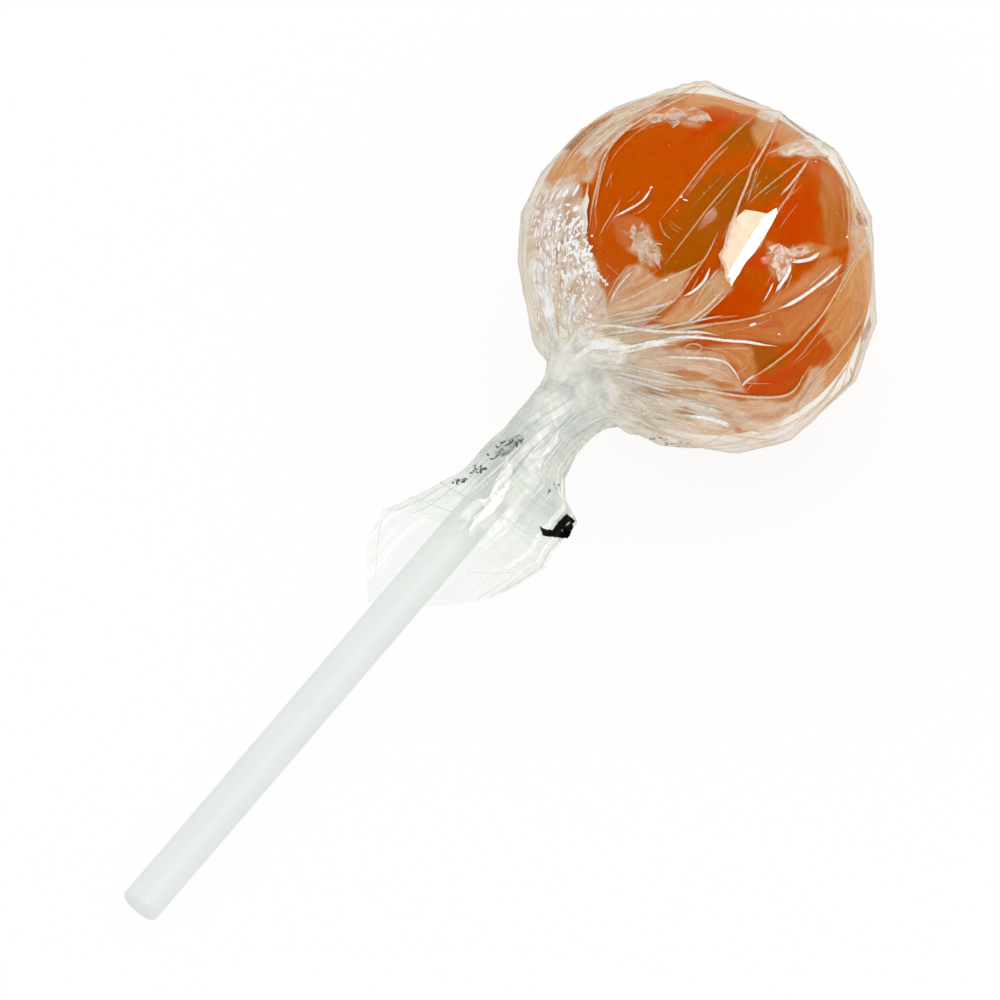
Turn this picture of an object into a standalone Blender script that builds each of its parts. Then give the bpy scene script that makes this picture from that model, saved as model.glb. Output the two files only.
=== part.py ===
"""A ball lollipop in clear film, lying on its side on a table.

The lollipop is worked out upright: the ball's centre at the local origin, the
stick running down local -Z, the shown side facing local -Y. An empty then lays
it down, so that the ball's foot and the stick's lower end both touch z = 0.

Pieces: candy (the ball of boiled sugar, with the blind hole that the stick
fills), stick (a solid white rod) and wrapper (one sheet of film: faceted and
pleated over the ball, gathered at the neck, loose below it).
"""

import math
import random

import bmesh
import bpy
from mathutils import Matrix, Vector

MM = 0.001
DEG = math.pi / 180.0

# Candy
CANDY_RADIUS = 17.3 * MM
CANDY_POLE_RADIUS = 16.2 * MM
CANDY_SEGMENTS = 48
CANDY_RINGS = 24
CANDY_LUMP = 0.10 * MM
DIMPLES = 26
DIMPLE_DEPTH = 0.28 * MM
DIMPLE_SPREAD = 9.0 * DEG
DIMPLE_TOP_LEVEL = 0.92
DIMPLE_LEVEL_RANGE = 1.72

# Stick
STICK_RADIUS = 2.0 * MM
STICK_LENGTH = 100.0 * MM
STICK_REACH = 88.0 * MM
STICK_OFFSET = 1.0 * MM
STICK_EDGE = 0.25 * MM
STICK_SIDES = 32

# Film
GAP = 0.3 * MM
WALL = 0.3 * MM
FACETS = 74
FACET_JITTER = 5.0 * DEG
FACET_LIFT = 0.22 * MM
FACET_SEED = 11
SLACK_HEIGHT = 1.35 * MM
SLACK_SPREAD = 30.0 * DEG
SLACK_POLAR = 103.0 * DEG
PLEATS = 22
PLEAT_SEED = 5
PLEAT_JITTER = 0.28
BALL_PLEAT = 0.55 * MM
NECK_PLEAT = 0.45 * MM
SKIRT_PLEAT = 0.30 * MM
PLEAT_GROWS_OVER = 45.0 * DEG
NECK_TWIST = 38.0 * DEG

# How the lollipop lies: the turn round the stick, and the ball centre's height
LIE_ROLL = 21.5 * DEG
BALL_HEIGHT = 17.73 * MM
FOOT_CALM = 24.0 * DEG

# Across one pleat: where its four columns stand, and how high each is, from the
# fold (1) down to its foot (0) and slowly up again to the next fold
PLEAT_COLUMNS = ((0.0, 1.0), (0.20, 0.0), (0.48, 0.18), (0.78, 0.62))
COLUMNS = PLEATS * len(PLEAT_COLUMNS)

# The film's rows over the ball, from the far pole to the neck
BALL_LAST_POLAR = 159.0 * DEG
BALL_ROWS = 20

# The neck and the skirt, by distance below the ball's centre: how far the film
# stands out from the stick's axis to the right and left, its half depth, and
# how pinched its sides are (1 is round)
SECTIONS = (
    (17.7, 5.3, 4.7, 4.9, 1.0),
    (18.8, 4.5, 3.8, 4.0, 1.0),
    (20.4, 3.8, 3.4, 3.5, 1.0),
    (23.5, 3.6, 3.35, 3.35, 1.0),
    (26.4, 4.3, 3.4, 3.25, 1.05),
    (28.0, 5.8, 3.6, 3.2, 1.2),
    (28.9, 8.1, 3.7, 3.2, 1.3),
    (33.0, 8.1, 3.95, 3.2, 1.45),
    (34.8, 8.6, 4.6, 3.25, 1.5),
    (37.0, 7.9, 5.5, 3.3, 1.55),
    (41.0, 6.4, 7.2, 3.4, 1.6),
    (49.0, 5.4, 7.3, 3.5, 1.6),
)
NECK_STATIONS = (17.7, 18.8, 20.4, 22.2, 24.2, 26.0)
SKIRT_TOP = 27.2
SKIRT_STEPS = (0.0, 0.08, 0.16, 0.30, 0.46, 0.62, 0.80, 1.0)

# The film's cut edge: how far below the ball's centre it ends, by the turn
# round the stick (0 right, 90 shown side, 180 left, 270 back)
CUT_EDGE = (
    (0.0, 39.8),
    (34.0, 37.6),
    (62.0, 39.2),
    (80.0, 37.9),
    (106.0, 38.9),
    (180.0, 41.2),
    (250.0, 48.3),
    (330.0, 41.6),
    (360.0, 39.8),
)

# Inside, the film is smooth: half the columns, and fewer rows
INNER_STRIDE = 2
INNER_BALL_ROWS = 15
INNER_NECK = 2.45 * MM
TIP_WALL = 1.6

WHITE_STICK = (0.86, 0.88, 0.86, 1.0)
AMBER_CANDY = (0.62, 0.16, 0.004, 1.0)
CLEAR_FILM = (0.90, 0.90, 0.89, 0.35)


def clear_scene():
    """Empties the file, so that the script can be run again."""
    for item in list(bpy.data.objects):
        bpy.data.objects.remove(item, do_unlink=True)


def make_collection(name):
    """A new collection under the scene."""
    group = bpy.data.collections.new(name)
    bpy.context.scene.collection.children.link(group)
    return group


def make_material(name, colour, roughness):
    """A Principled material of one colour; an alpha under 1 lets light through."""
    material = bpy.data.materials.new(name)
    material.use_nodes = True
    shader = material.node_tree.nodes["Principled BSDF"]
    shader.inputs["Base Color"].default_value = colour
    shader.inputs["Roughness"].default_value = roughness
    shader.inputs["Metallic"].default_value = 0.0
    shader.inputs["Alpha"].default_value = colour[3]
    return material


def move_to(item, group):
    """Takes an object out of every collection but the given one."""
    for other in list(item.users_collection):
        other.objects.unlink(item)
    group.objects.link(item)


def smooth_step(low, high, value):
    """0 below low, 1 above high, and an even rise between."""
    share = min(max((value - low) / (high - low), 0.0), 1.0)
    return share * share * (3.0 - 2.0 * share)


def keyed(keys, value, column):
    """One column of a keyed list, read between its keys along the first one."""
    if value <= keys[0][0]:
        return keys[0][column]
    for before, after in zip(keys, keys[1:]):
        if value <= after[0]:
            share = (value - before[0]) / (after[0] - before[0])
            return before[column] + share * (after[column] - before[column])
    return keys[-1][column]


def direction(polar, turn):
    """A unit vector, polar from the far pole, turn round the stick from the right."""
    flat = math.sin(polar)
    return Vector((flat * math.cos(turn), -flat * math.sin(turn), math.cos(polar)))


# ---------------------------------------------------------------- how it lies

def lie_slope():
    """The stick's slope at which its rounded lower edge and the ball's foot
    touch the same level."""
    along = STICK_REACH - STICK_EDGE
    across = STICK_RADIUS - STICK_EDGE - STICK_OFFSET * math.sin(LIE_ROLL)
    height = BALL_HEIGHT - STICK_EDGE
    return math.asin(height / math.hypot(along, across)) - math.atan2(across, along)


LIE = (
    Matrix.Translation((0.0, 0.0, BALL_HEIGHT))
    @ Matrix.Rotation(lie_slope() - math.pi / 2.0, 4, "X")
    @ Matrix.Rotation(LIE_ROLL, 4, "Z")
)
UP = LIE.to_3x3().inverted() @ Vector((0.0, 0.0, 1.0))


def settled(point):
    """Presses a point that would be below the table up to it."""
    height = (LIE @ point).z
    if height < 0.0:
        return point - UP * height
    return point


# ---------------------------------------------------------------------- candy

def candy_radius(way):
    """The candy's radius along a unit vector: a ball a little short along the
    stick, with two very shallow lumps."""
    flat = math.hypot(way.x, way.y)
    ball = 1.0 / math.hypot(flat / CANDY_RADIUS, way.z / CANDY_POLE_RADIUS)
    turn = math.atan2(-way.y, way.x)
    lump = math.sin(2.0 * turn + 0.7) * flat + math.sin(3.0 * turn - 1.1) * way.z
    return ball + 0.5 * CANDY_LUMP * lump


def dimple_ways():
    """Where the shallow dimples of the boiled sugar are: spread by the golden
    angle, clear of the hole for the stick."""
    golden = math.pi * (3.0 - math.sqrt(5.0))
    ways = []
    for index in range(DIMPLES):
        level = DIMPLE_TOP_LEVEL - DIMPLE_LEVEL_RANGE * (index + 0.5) / DIMPLES
        ways.append(direction(math.acos(level), golden * index))
    return ways


def dimple_depth(way, ways):
    """How deep the dimples are along a unit vector."""
    depth = 0.0
    for index, middle in enumerate(ways):
        angle = way.angle(middle)
        spread = DIMPLE_SPREAD * (0.7 + 0.15 * (index % 4))
        depth = max(depth, DIMPLE_DEPTH * math.exp(-(angle / spread) ** 2))
    return depth


def make_candy(group, cutters):
    """The ball of boiled sugar, with a blind hole for the stick."""
    bpy.ops.mesh.primitive_uv_sphere_add(
        segments=CANDY_SEGMENTS, ring_count=CANDY_RINGS, radius=1.0)
    candy = bpy.context.object
    candy.name = "candy"
    ways = dimple_ways()
    for vertex in candy.data.vertices:
        way = vertex.co.normalized()
        vertex.co = way * (candy_radius(way) - dimple_depth(way, ways))
    candy.data.shade_smooth()
    candy.data.materials.append(make_material("amber_candy", AMBER_CANDY, 0.18))
    move_to(candy, group)

    top = STICK_LENGTH - STICK_REACH + GAP
    depth = top + 1.3 * CANDY_RADIUS
    bpy.ops.mesh.primitive_cylinder_add(
        vertices=24, radius=STICK_RADIUS + GAP, depth=depth,
        location=(-STICK_OFFSET, 0.0, top - depth / 2.0))
    cutter = bpy.context.object
    cutter.name = "stick_hole"
    cutter.hide_render = True
    cutter.display_type = "WIRE"
    move_to(cutter, cutters)

    hole = candy.modifiers.new("stick_hole", "BOOLEAN")
    hole.operation = "DIFFERENCE"
    hole.solver = "EXACT"
    hole.object = cutter
    return candy, cutter


# ---------------------------------------------------------------------- stick

def make_stick(group):
    """A solid round rod with a slightly eased edge at both ends."""
    middle = STICK_LENGTH / 2.0 - STICK_REACH
    bpy.ops.mesh.primitive_cylinder_add(
        vertices=STICK_SIDES, radius=STICK_RADIUS, depth=STICK_LENGTH,
        location=(-STICK_OFFSET, 0.0, middle))
    stick = bpy.context.object
    stick.name = "stick"
    stick.data.shade_smooth()
    eased = stick.modifiers.new("eased_ends", "BEVEL")
    eased.width = STICK_EDGE
    eased.segments = 2
    eased.limit_method = "ANGLE"
    eased.angle_limit = 60.0 * DEG
    stick.data.materials.append(make_material("white_stick", WHITE_STICK, 0.42))
    move_to(stick, group)
    return stick


# -------------------------------------------------------------------- wrapper

def slack_at(way):
    """How far the film stands off on its loose side, right of the stick."""
    return SLACK_HEIGHT * math.exp(-(way.angle(direction(SLACK_POLAR, 0.0)) / SLACK_SPREAD) ** 2)


def facet_planes():
    """The flat patches of taut film round the ball: each a plane's outward
    direction and its distance from the ball's centre."""
    chance = random.Random(FACET_SEED)
    golden = math.pi * (3.0 - math.sqrt(5.0))
    planes = []
    for index in range(FACETS):
        polar = math.acos(1.0 - (2.0 * index + 1.0) / FACETS)
        polar += chance.uniform(-FACET_JITTER, FACET_JITTER)
        turn = golden * index + chance.uniform(-FACET_JITTER, FACET_JITTER)
        way = direction(polar, turn)
        lift = chance.uniform(0.0, FACET_LIFT) + slack_at(way)
        planes.append((way, candy_radius(way) + GAP + WALL + lift))
    return planes


def film_radius(way, planes):
    """The film's outer radius over the ball without its pleats: the nearest
    flat patch, but never into the candy."""
    nearest = min(reach / way.dot(normal) for normal, reach in planes if way.dot(normal) > 0.6)
    return max(nearest, candy_radius(way) + GAP + WALL)


def pleat_folds():
    """Each pleat's fold, by its turn round the stick, its strength, and the
    polar angle at which it starts."""
    chance = random.Random(PLEAT_SEED)
    pitch = 2.0 * math.pi / PLEATS
    folds = []
    for index in range(PLEATS):
        turn = pitch * (index + chance.uniform(-PLEAT_JITTER, PLEAT_JITTER))
        strength = chance.uniform(0.35, 1.0)
        start = chance.uniform(28.0, 100.0) * DEG
        folds.append((turn, strength, start))
    return folds


def column_layout(folds):
    """For every column: its turn, its share of the pleat's height, and the
    pleat that it belongs to."""
    layout = []
    for index, fold in enumerate(folds):
        following = folds[(index + 1) % PLEATS]
        width = (following[0] - fold[0]) % (2.0 * math.pi)
        for place, height in PLEAT_COLUMNS:
            owner = fold if place < 0.3 else following
            layout.append((fold[0] + place * width, height, owner))
    return layout


def ball_point(polar, turn, planes, extra):
    """A point of the film over the ball, extra metres proud of it."""
    way = direction(polar, turn)
    return way * (film_radius(way, planes) + extra)


def ball_pleat(polar, turn, height, owner):
    """How far a pleat stands up from the film over the ball."""
    grown = smooth_step(owner[2], owner[2] + PLEAT_GROWS_OVER, polar)
    foot = LIE.to_3x3() @ direction(polar, turn)
    calm = smooth_step(FOOT_CALM, 1.6 * FOOT_CALM, foot.angle(Vector((0.0, 0.0, -1.0))))
    return BALL_PLEAT * owner[1] * height * grown * calm


def section_point(below, turn, inset, extra):
    """A point of the neck or the skirt, below millimetres under the ball's
    centre. The section is a ring round the stick, pinched at its sides."""
    reach = keyed(SECTIONS, below, 1 if math.cos(turn) > 0.0 else 2) * MM - TIP_WALL * inset
    depth = keyed(SECTIONS, below, 3) * MM - inset
    pinch = keyed(SECTIONS, below, 4)
    across = math.cos(turn)
    forward = math.copysign(abs(math.sin(turn)) ** pinch, math.sin(turn))
    outward = Vector((across, -math.sin(turn), 0.0))
    place = Vector((reach * across - STICK_OFFSET, -depth * forward, -below * MM))
    return place + outward * extra


def twist_at(below):
    """How far the gathered film is twisted round the stick at this level."""
    return NECK_TWIST * smooth_step(17.0, SKIRT_TOP, below)


def skirt_level(turn, step):
    """How far below the ball's centre a step of the skirt is at this turn."""
    edge = keyed(CUT_EDGE, math.degrees(turn) % 360.0, 1)
    return SKIRT_TOP + step * (edge - SKIRT_TOP)


def outer_rows(layout, planes):
    """The film's outer side, from the row next to the far pole to the edge."""
    rows = []
    for index in range(1, BALL_ROWS + 1):
        polar = BALL_LAST_POLAR * index / BALL_ROWS
        rows.append([
            ball_point(polar, turn, planes, ball_pleat(polar, turn, height, owner))
            for turn, height, owner in layout])
    for below in NECK_STATIONS:
        rows.append([
            section_point(below, turn + twist_at(below), 0.0, NECK_PLEAT * owner[1] * (height - 0.5))
            for turn, height, owner in layout])
    for step in SKIRT_STEPS:
        rows.append([
            section_point(skirt_level(turn + NECK_TWIST, step), turn + NECK_TWIST, 0.0,
                          SKIRT_PLEAT * owner[1] * (height - 0.5))
            for turn, height, owner in layout])
    return rows


def inner_rows(layout, planes):
    """The film's inner side, from its edge up to the row next to the far pole.
    Above the skirt it has half the columns."""
    rows = []
    for step in reversed(SKIRT_STEPS):
        rows.append([
            section_point(skirt_level(turn + NECK_TWIST, step), turn + NECK_TWIST, WALL,
                          SKIRT_PLEAT * owner[1] * (height - 0.5))
            for turn, height, owner in layout])
    coarse = layout[::INNER_STRIDE]
    for below in reversed(NECK_STATIONS):
        ring = []
        for turn, _, _ in coarse:
            angle = turn + twist_at(below)
            spread = smooth_step(20.4, 17.2, below) if below < 20.4 else 0.0
            radius = INNER_NECK + spread * 1.4 * MM
            ring.append(Vector((radius * math.cos(angle) - STICK_OFFSET,
                                -radius * math.sin(angle), -below * MM)))
        rows.append(ring)
    for index in range(INNER_BALL_ROWS, 0, -1):
        polar = BALL_LAST_POLAR * index / INNER_BALL_ROWS
        rows.append([ball_point(polar, turn, planes, -WALL) for turn, _, _ in coarse])
    return rows


def join_rings(mesh, upper, lower):
    """Closes the band between two rings; the lower one may have fewer points,
    by a whole number."""
    stride = len(upper) // len(lower)
    for index, corner in enumerate(lower):
        following = lower[(index + 1) % len(lower)]
        first = index * stride
        for step in range(first, first + stride):
            mesh.faces.new((upper[step], corner, upper[(step + 1) % len(upper)]))
        mesh.faces.new((corner, following, upper[(first + stride) % len(upper)]))


def make_wrapper(group):
    """One sheet of film round the candy and the top of the stick, a loft of
    unlike sections: down the outer side, over the cut edge and back inside."""
    planes = facet_planes()
    layout = column_layout(pleat_folds())
    mesh = bmesh.new()
    outer_pole = mesh.verts.new(ball_point(0.0, 0.0, planes, 0.0))
    inner_pole = mesh.verts.new(ball_point(0.0, 0.0, planes, -WALL))
    rings = []
    for row in outer_rows(layout, planes):
        rings.append([mesh.verts.new(settled(point)) for point in row])
    for row in inner_rows(layout, planes):
        rings.append([mesh.verts.new(point) for point in row])
    for upper, lower in zip(rings, rings[1:]):
        join_rings(mesh, upper, lower)
    for pole, ring in ((outer_pole, rings[0]), (inner_pole, rings[-1])):
        for index, corner in enumerate(ring):
            mesh.faces.new((pole, corner, ring[(index + 1) % len(ring)]))
    bmesh.ops.recalc_face_normals(mesh, faces=mesh.faces)
    data = bpy.data.meshes.new("wrapper")
    mesh.to_mesh(data)
    mesh.free()
    data.shade_smooth()
    data.set_sharp_from_angle(angle=25.0 * DEG)
    wrapper = bpy.data.objects.new("wrapper", data)
    group.objects.link(wrapper)
    data.materials.append(make_material("clear_film", CLEAR_FILM, 0.12))
    return wrapper


def main():
    """Builds the lollipop upright and lays it down."""
    clear_scene()
    group = make_collection("lollipop")
    cutters = make_collection("cutters")
    rest = bpy.data.objects.new("lollipop_rest", None)
    group.objects.link(rest)
    candy, cutter = make_candy(group, cutters)
    stick = make_stick(group)
    wrapper = make_wrapper(group)
    for item in (candy, cutter, stick, wrapper):
        item.parent = rest
    rest.matrix_world = LIE


main()
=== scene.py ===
# %% [markdown]
# # A ball lollipop in clear film
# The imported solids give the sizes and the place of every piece. They are loaded
# first, and nothing here moves them: each new piece is made round them.

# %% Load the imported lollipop
import math
import random

import bmesh
import bpy
import numpy as np
from mathutils import Matrix, Vector
from mathutils.bvhtree import BVHTree
from mathutils.geometry import delaunay_2d_cdt


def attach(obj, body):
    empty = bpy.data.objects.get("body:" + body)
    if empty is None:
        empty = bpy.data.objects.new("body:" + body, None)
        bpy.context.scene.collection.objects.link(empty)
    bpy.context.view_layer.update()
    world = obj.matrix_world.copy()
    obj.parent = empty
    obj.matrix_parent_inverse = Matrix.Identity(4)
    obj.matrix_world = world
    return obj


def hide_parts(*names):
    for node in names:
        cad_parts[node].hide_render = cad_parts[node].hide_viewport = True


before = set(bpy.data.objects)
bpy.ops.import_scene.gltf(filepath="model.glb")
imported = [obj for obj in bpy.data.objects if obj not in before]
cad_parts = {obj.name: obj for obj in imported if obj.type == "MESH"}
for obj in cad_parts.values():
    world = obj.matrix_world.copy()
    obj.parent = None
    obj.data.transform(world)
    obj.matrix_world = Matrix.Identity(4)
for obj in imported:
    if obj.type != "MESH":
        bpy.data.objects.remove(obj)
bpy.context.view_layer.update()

BODY = "root"
MM = 0.001
DEG = math.pi / 180.0

# %% [markdown]
# ## How the lollipop lies
# Everything is worked out upright, in millimetres: the ball's middle is the
# origin, the stick runs down -Z, and the shown side faces -Y. One matrix then
# lays the lollipop down. Its slope follows from two touches: the ball's foot and
# the stick's lower end are on the same table.

# %% Sizes shared with the solids, and the matrix that lays it down
CANDY_RADIUS = 17.85
CANDY_POLE_RADIUS = 16.6
CANDY_LUMP = 0.10
CANDY_SHIFT = 0.30
STICK_RADIUS = 2.0
STICK_LENGTH = 100.0
STICK_REACH = 88.0
STICK_OFFSET = 1.0
STICK_EDGE = 0.25
LIE_ROLL = 21.5 * DEG
BALL_HEIGHT = 17.73
BALL_MIDDLE = Vector((0.0, 0.0, BALL_HEIGHT * MM))  # in metres, on the table
TABLE_CLEAR = 0.01


def lie_slope():
    """The stick's slope when its eased lower edge and the ball's foot touch one level."""
    along = STICK_REACH - STICK_EDGE
    across = STICK_RADIUS - STICK_EDGE - STICK_OFFSET * math.sin(LIE_ROLL)
    height = BALL_HEIGHT - STICK_EDGE
    return math.asin(height / math.hypot(along, across)) - math.atan2(across, along)


TURNED = np.array(Matrix.Rotation(lie_slope() - math.pi / 2.0, 3, "X") @ Matrix.Rotation(LIE_ROLL, 3, "Z"))


def laid(points):
    """Upright millimetres to metres on the table, never below it."""
    world = points @ TURNED.T + np.array((0.0, 0.0, BALL_HEIGHT))
    world[..., 2] = np.maximum(world[..., 2], TABLE_CLEAR)
    return world * MM


print("slope in degrees", round(math.degrees(lie_slope()), 2))

# %% [markdown]
# ## The camera, and the shown face
# The camera looks down on the lollipop through a long lens, so that the stick
# stays equally wide. Its three axes, turned back upright, also serve as the
# "shown face": x to the right, y up and depth towards the camera, in
# millimetres from the ball's middle. The main folds are placed on that face.

# %% Camera
AZIMUTH = 39.0 * DEG
ELEVATION = 55.25 * DEG
CAMERA_ROLL = 0.4 * DEG
DISTANCE = 912.6
PICTURE = 1000
PIXELS_PER_MM = 9.93
SENSOR = 36.0
BALL_PIXEL = (701.0, 267.0)

BACK = np.array((math.sin(AZIMUTH) * math.cos(ELEVATION), -math.cos(AZIMUTH) * math.cos(ELEVATION),
                 math.sin(ELEVATION)))
LEVEL = np.array((math.cos(AZIMUTH), math.sin(AZIMUTH), 0.0))
ABOVE = np.cross(BACK, LEVEL)
RIGHT = math.cos(CAMERA_ROLL) * LEVEL + math.sin(CAMERA_ROLL) * ABOVE
UP = math.cos(CAMERA_ROLL) * ABOVE - math.sin(CAMERA_ROLL) * LEVEL
SHOWN = np.stack((RIGHT, UP, BACK)) @ TURNED
FACE_SCALE = 1.014


def on_face(points):
    """Upright points seen on the shown face: right, up and towards the camera."""
    return points @ SHOWN.T / FACE_SCALE


def place_camera():
    """A long lens at the photo's angle, aimed so that the ball is where it is in the photo."""
    data = bpy.data.cameras.new("camera")
    data.sensor_width = SENSOR
    data.lens = PIXELS_PER_MM * DISTANCE * SENSOR / PICTURE
    camera = bpy.data.objects.new("camera", data)
    bpy.context.scene.collection.objects.link(camera)
    right = (BALL_PIXEL[0] - PICTURE / 2) / PIXELS_PER_MM
    up = (PICTURE / 2 - BALL_PIXEL[1]) / PIXELS_PER_MM
    aim = np.array((0.0, 0.0, BALL_HEIGHT)) - right * RIGHT - up * UP
    place = (aim + DISTANCE * BACK) * MM
    axes = np.stack((RIGHT, UP, BACK), axis=1)
    camera.matrix_world = Matrix.Translation(Vector(place)) @ Matrix(axes.tolist()).to_4x4()
    bpy.context.scene.camera = camera


place_camera()
print("shown face, upright", SHOWN.round(3).tolist())

# %% [markdown]
# ## Small tools for meshes
# A sheet of film or the skin of the candy is a grid of points: rows down the
# lollipop, columns round it. One helper turns such a grid into a mesh, closed
# round the stick, and can cap it at the far pole.

# %% Mesh helpers
def link(item):
    """Puts an object in the scene."""
    bpy.context.scene.collection.objects.link(item)
    return item


def mesh_object(name, points, faces):
    """A named object from points and faces."""
    data = bpy.data.meshes.new(name)
    data.from_pydata(points.tolist(), [], faces)
    data.update()
    data.shade_smooth()
    return link(bpy.data.objects.new(name, data))


def ring_faces(rows, columns, first=0):
    """The quads of a grid that closes on itself round the stick, facing outwards."""
    faces = []
    for row in range(rows - 1):
        top = first + row * columns
        low = top + columns
        for column in range(columns):
            after = (column + 1) % columns
            faces.append((top + column, low + column, low + after, top + after))
    return faces


def cap_faces(pole, first, columns, outward=True):
    """The triangles from a pole to the ring that starts at first."""
    sides = [(first + column, first + (column + 1) % columns) for column in range(columns)]
    return [(pole, one, two) if outward else (pole, two, one) for one, two in sides]


def add_attribute(mesh, name, values):
    """A number or a vector for every point of a mesh, which its material or a tree can read."""
    values = np.asarray(values, dtype=np.float32)
    kind, field = ("FLOAT_VECTOR", "vector") if values.ndim == 2 else ("FLOAT", "value")
    mesh.attributes.new(name, kind, "POINT").data.foreach_set(field, values.ravel())


def after_pole(first, grid):
    """The pole's value, then the grid's, row by row."""
    return np.concatenate((np.full((1,) + grid.shape[2:], first), grid.reshape((-1,) + grid.shape[2:])))


def smooth_step(low, high, value):
    """0 below low, 1 above high, and an even rise between."""
    share = np.clip((value - low) / (high - low), 0.0, 1.0)
    return share * share * (3.0 - 2.0 * share)


# %% [markdown]
# ## Noise in numbers
# Film creases and sugar lumps are irregular. A lattice noise gives the same
# irregular value for the same place on every run: random numbers sit on the
# corners of a grid of cells, and are blended inside each cell.

# %% Lattice noise
NOISE_TABLE = np.random.default_rng(41).random(4096)


def lattice(points, size, seed=0):
    """Smooth noise from 0 to 1 with cells of the given size, for an array of points."""
    place = points / size + 512.0 + 17.3 * seed
    cell = np.floor(place).astype(np.int64)
    part = place - cell
    part = part * part * (3.0 - 2.0 * part)
    total = np.zeros(points.shape[:-1])
    for corner in range(8):
        step = np.array((corner & 1, (corner >> 1) & 1, corner >> 2))
        key = cell + step
        mixed = (key[..., 0] * 73856093) ^ (key[..., 1] * 19349663) ^ (key[..., 2] * 83492791)
        weight = np.prod(np.where(step == 1, part, 1.0 - part), axis=-1)
        total += weight * NOISE_TABLE[mixed % NOISE_TABLE.size]
    return total


def rough(points, size, seed=0):
    """Two sizes of lattice noise together, from -1 to 1."""
    return 1.3 * lattice(points, size, seed) + 0.7 * lattice(points, size * 0.43, seed + 3) - 1.0


# %% [markdown]
# ## Node sums in Python
# A material is a small program, and so is a Geometry Nodes tree. Wrapping a
# socket in a class lets the sums of both be written as plain expressions, such
# as 1 - mask * 0.3.

# %% A class for shader maths
class Wire:
    """An output socket that can be added, multiplied and so on."""

    def __init__(self, graph, socket):
        self.graph = graph
        self.socket = socket

    def maths(self, operation, other=0.0, swapped=False):
        first, second = (other, self) if swapped else (self, other)
        return self.graph.node("ShaderNodeMath", {"operation": operation}, {0: first, 1: second})

    def __add__(self, other):
        return self.maths("ADD", other)

    def __radd__(self, other):
        return self.maths("ADD", other, True)

    def __sub__(self, other):
        return self.maths("SUBTRACT", other)

    def __rsub__(self, other):
        return self.maths("SUBTRACT", other, True)

    def __mul__(self, other):
        return self.maths("MULTIPLY", other)

    def __rmul__(self, other):
        return self.maths("MULTIPLY", other, True)

    def __truediv__(self, other):
        return self.maths("DIVIDE", other)

    def least(self, other):
        return self.maths("MINIMUM", other)

    def most(self, other):
        return self.maths("MAXIMUM", other)

    def step(self, low, high, to_low=0.0, to_high=1.0):
        """A smooth rise from to_low at low to to_high at high."""
        return self.graph.node(
            "ShaderNodeMapRange", {"interpolation_type": "SMOOTHSTEP"},
            {"Value": self, "From Min": low, "From Max": high, "To Min": to_low, "To Max": to_high})


class Graph:
    """A node tree, emptied, with one method that adds any node."""

    def __init__(self, tree):
        self.tree = tree
        self.tree.nodes.clear()

    def node(self, kind, settings=None, inputs=None, output=0):
        """Adds a node with its settings, values and links, and gives one of its outputs."""
        node = self.tree.nodes.new(kind)
        for key, value in (settings or {}).items():
            setattr(node, key, value)
        for key, value in (inputs or {}).items():
            if isinstance(value, Wire):
                self.tree.links.new(value.socket, node.inputs[key])
            else:
                node.inputs[key].default_value = value
        return Wire(self, node.outputs[output]) if len(node.outputs) else node

    def scaled(self, vector, factor):
        return self.node("ShaderNodeVectorMath", {"operation": "SCALE"}, {0: vector, "Scale": factor})


class Finish(Graph):
    """The shader of a new material, or of the world."""

    def __init__(self, name, world=None):
        self.owner = world or bpy.data.materials.new(name)
        self.owner.use_nodes = True
        super().__init__(self.owner.node_tree)

    def noise(self, scale, detail, distortion=0.0, place=None):
        """Noise in the given place, or else in object coordinates in millimetres."""
        if place is None:
            place = self.scaled(self.node("ShaderNodeTexCoord", output="Object"), 1.0 / MM)
        return self.node("ShaderNodeTexNoise", None, {
            "Vector": place, "Scale": scale, "Detail": detail, "Distortion": distortion})

    def reading(self, name, output="Fac"):
        """A number, or with the output Vector a vector, that the mesh carries."""
        return self.node("ShaderNodeAttribute", {"attribute_name": name}, output=output)

    def blend(self, share, first, second):
        """Between two colours."""
        return self.node("ShaderNodeMix", {"data_type": "RGBA"}, {0: share, 6: first, 7: second}, output=2)

    def bump(self, height, strength, distance):
        return self.node("ShaderNodeBump", None, {
            "Height": height, "Strength": strength, "Distance": distance * MM})

    def principled(self, inputs):
        return self.node("ShaderNodeBsdfPrincipled", None, inputs)

    def finish(self, shader):
        self.node("ShaderNodeOutputMaterial", None, {"Surface": shader})
        return self.owner


def srgb(red, green, blue):
    """A colour as seen on screen, 0 to 255, to the light values that a shader wants."""
    light = []
    for value in (red, green, blue):
        share = value / 255.0
        light.append(share / 12.92 if share <= 0.04045 else ((share + 0.055) / 1.055) ** 2.4)
    return (*light, 1.0)


# %% [markdown]
# ## Where the film touches the candy
# The candy is a ball a little short along the stick. Film that lies on it is
# clear and shows deep amber. Film that stands off is milky, and the candy under
# it is painted paler: a painted veil of the light that the lifted film reflects.
# Pulled tight over a ball, film makes flat facets that touch at their middles.

# %% Candy form and facets of film
FACETS = 74
FACET_JITTER = 5.0 * DEG
FACET_LIFT = 0.22
FACET_SEED = 11
FILM_OVER = 0.40
FILM_TOUCH = 0.05
SLACK_HEIGHT = 1.35
SLACK_SPREAD = 30.0 * DEG
SLACK_POLAR = 103.0 * DEG
FACET_FACING = 0.6  # facets turned further away than this cosine do not count
FAR = 99.0
GOLDEN = math.pi * (3.0 - math.sqrt(5.0))


def ways(polar, turn):
    """Unit vectors: polar from the far pole, turn round the stick from the right flap."""
    flat = np.sin(polar)
    return np.stack((flat * np.cos(turn), -flat * np.sin(turn), np.cos(polar) * np.ones_like(flat)), -1)


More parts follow.
